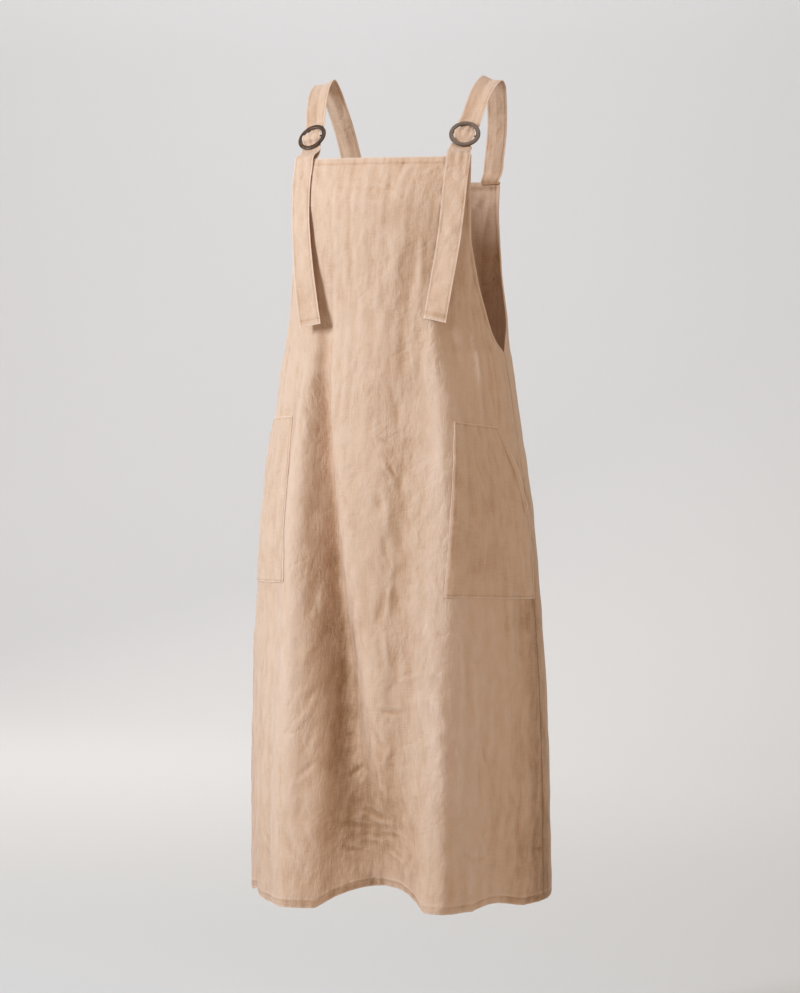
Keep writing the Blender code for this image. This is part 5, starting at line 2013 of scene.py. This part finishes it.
@dataclass
class Studio:
    """Paper sweep, soft lights and the camera."""

    floor: float = -1.42
    bend_start: float = 3.6
    bend_radius: float = 2.0
    bend_steps: int = 33
    wall_top: float = 9.0
    half_width: float = 14.0
    ambient: float = 0.335
    ambient_colour: str = "#ffe6c8"
    camera_turn: float = 20.0
    camera_distance: float = 4.5
    camera_height: float = -0.348
    aim_height: float = -0.580
    lens: float = 116.5
    boxes: tuple[SoftBox, ...] = (
        SoftBox("key", (-1.75, -1.96, 0.60), (0.0, 0.0, -0.36), (0.8, 1.1), 82.0, "#e2f0ff"),
        SoftBox("fill", (2.55, -0.65, 0.75), (0.0, 0.0, -0.5), (1.0, 1.4), 16.0, "#fff4e8"),
        SoftBox("overhead", (0.15, -0.45, 2.3), (0.05, -0.10, -0.3), (1.3, 0.9), 11.0, "#f4f6ff"),
        SoftBox("low", (0.7, -2.3, -1.30), (0.0, 0.0, -1.05), (1.6, 0.4), 2.5, "#ffb884"),
        SoftBox("backdrop", (-2.6, 2.7, 3.4), (-2.6, 5.6, 0.5), (5.0, 1.2), 168.0, "#fafaff"),
        SoftBox("behind", (-2.4, 3.4, 1.2), (0.0, 0.0, -0.5), (1.2, 1.6), 34.0, "#fff6ec"),
    )

    def build(self, paper: Material) -> None:
        """Builds floor, lights, world and camera."""
        self.sweep(paper)
        for box in self.boxes:
            box.build()
        self.world()
        self.camera()

    def sweep(self, paper: Material) -> None:
        """Floor and backdrop in one sheet: flat, then a quarter circle, then straight up.

        Args:
            paper: the sheet's material.
        """
        angle = np.linspace(0.0, math.pi / 2, self.bend_steps)
        bend = self.bend_start + self.bend_radius * np.sin(angle)
        y = np.concatenate([[-self.half_width], bend, bend[-1:]])
        z = np.concatenate([[0.0], self.bend_radius * (1.0 - np.cos(angle)), [self.wall_top]]) + self.floor
        x = np.array([-self.half_width, self.half_width])
        grid = np.stack(np.broadcast_arrays(x[None, :], y[:, None], z[:, None]), axis=-1)
        index = np.arange(len(y) * 2).reshape(len(y), 2)
        corners = [index[:-1, 0], index[:-1, 1], index[1:, 1], index[1:, 0]]
        mesh = bpy.data.meshes.new("studio_sweep")
        mesh.from_pydata(grid.reshape(-1, 3).tolist(), [], np.stack(corners, axis=-1).tolist())
        mesh.materials.append(paper)
        mesh.shade_smooth()
        link("studio_sweep", mesh)

    def world(self) -> None:
        """Even light from all round."""
        world = bpy.data.worlds.new("studio_air")
        world.use_nodes = True
        back = world.node_tree.nodes["Background"]
        back.inputs["Color"].default_value = linear(self.ambient_colour)
        back.inputs["Strength"].default_value = self.ambient
        bpy.context.scene.world = world
        bpy.context.scene.view_settings.view_transform = "Standard"

    def camera(self) -> None:
        """A long lens at chest height, a little to the wearer's left, looking slightly down."""
        turn = math.radians(self.camera_turn)
        away = self.camera_distance
        data = bpy.data.cameras.new("camera")
        data.lens = self.lens
        data.sensor_width = 36.0
        data.sensor_fit = "AUTO"
        thing = link("camera", data)
        place = (away * math.sin(turn), -away * math.cos(turn), self.camera_height)
        aim(thing, place, (0.0, 0.0, self.aim_height))
        bpy.context.scene.camera = thing


# ---------------------------------------------------------------- the dress


def main() -> None:
    """Builds the dress piece by piece, then the studio."""
    logging.basicConfig(level=logging.INFO, format="%(name)s: %(message)s")
    linen = WashedLinen().build()
    thread = SewingThread().build()
    horn = PolishedHorn().build()
    relief = Relief()
    front = Panel(FRONT_SECTIONS, -1.0, BIB_DROP, relief)
    back = Panel(BACK_SECTIONS, 1.0, BACK_DROP, relief)
    for side, seed, length in ((Side.LEFT, 7, 0.585), (Side.RIGHT, 19, 0.590)):
        ring = RingPlace(side)
        RingSlide(ring).build(horn)
        Strap(side, ring, front, back, length, seed).build(linen, thread)
        Tab(side, ring, front).build(linen)
    BodyPanel("front_cloth", "front_panel", front, (0.69, 1.03), 0.550).build(linen, thread)
    BodyPanel("back_cloth", "back_panel", back, (0.73, 1.00), 0.543).build(linen, thread)
    pockets = (
        #                       top   foot  inner edge  slant  fall  corner
        PatchPocket(Side.LEFT, front, 0.470, 0.705, 42.0, 35.0, 0.596, 0.008, 0.0),
        PatchPocket(Side.RIGHT, front, 0.464, 0.691, 42.5, 32.5, 0.583, 0.004, 0.007),
    )
    for pocket in pockets:
        pocket.build(linen, thread)
    Studio().build(StudioPaper().build())


if __name__ == "__main__":
    main()
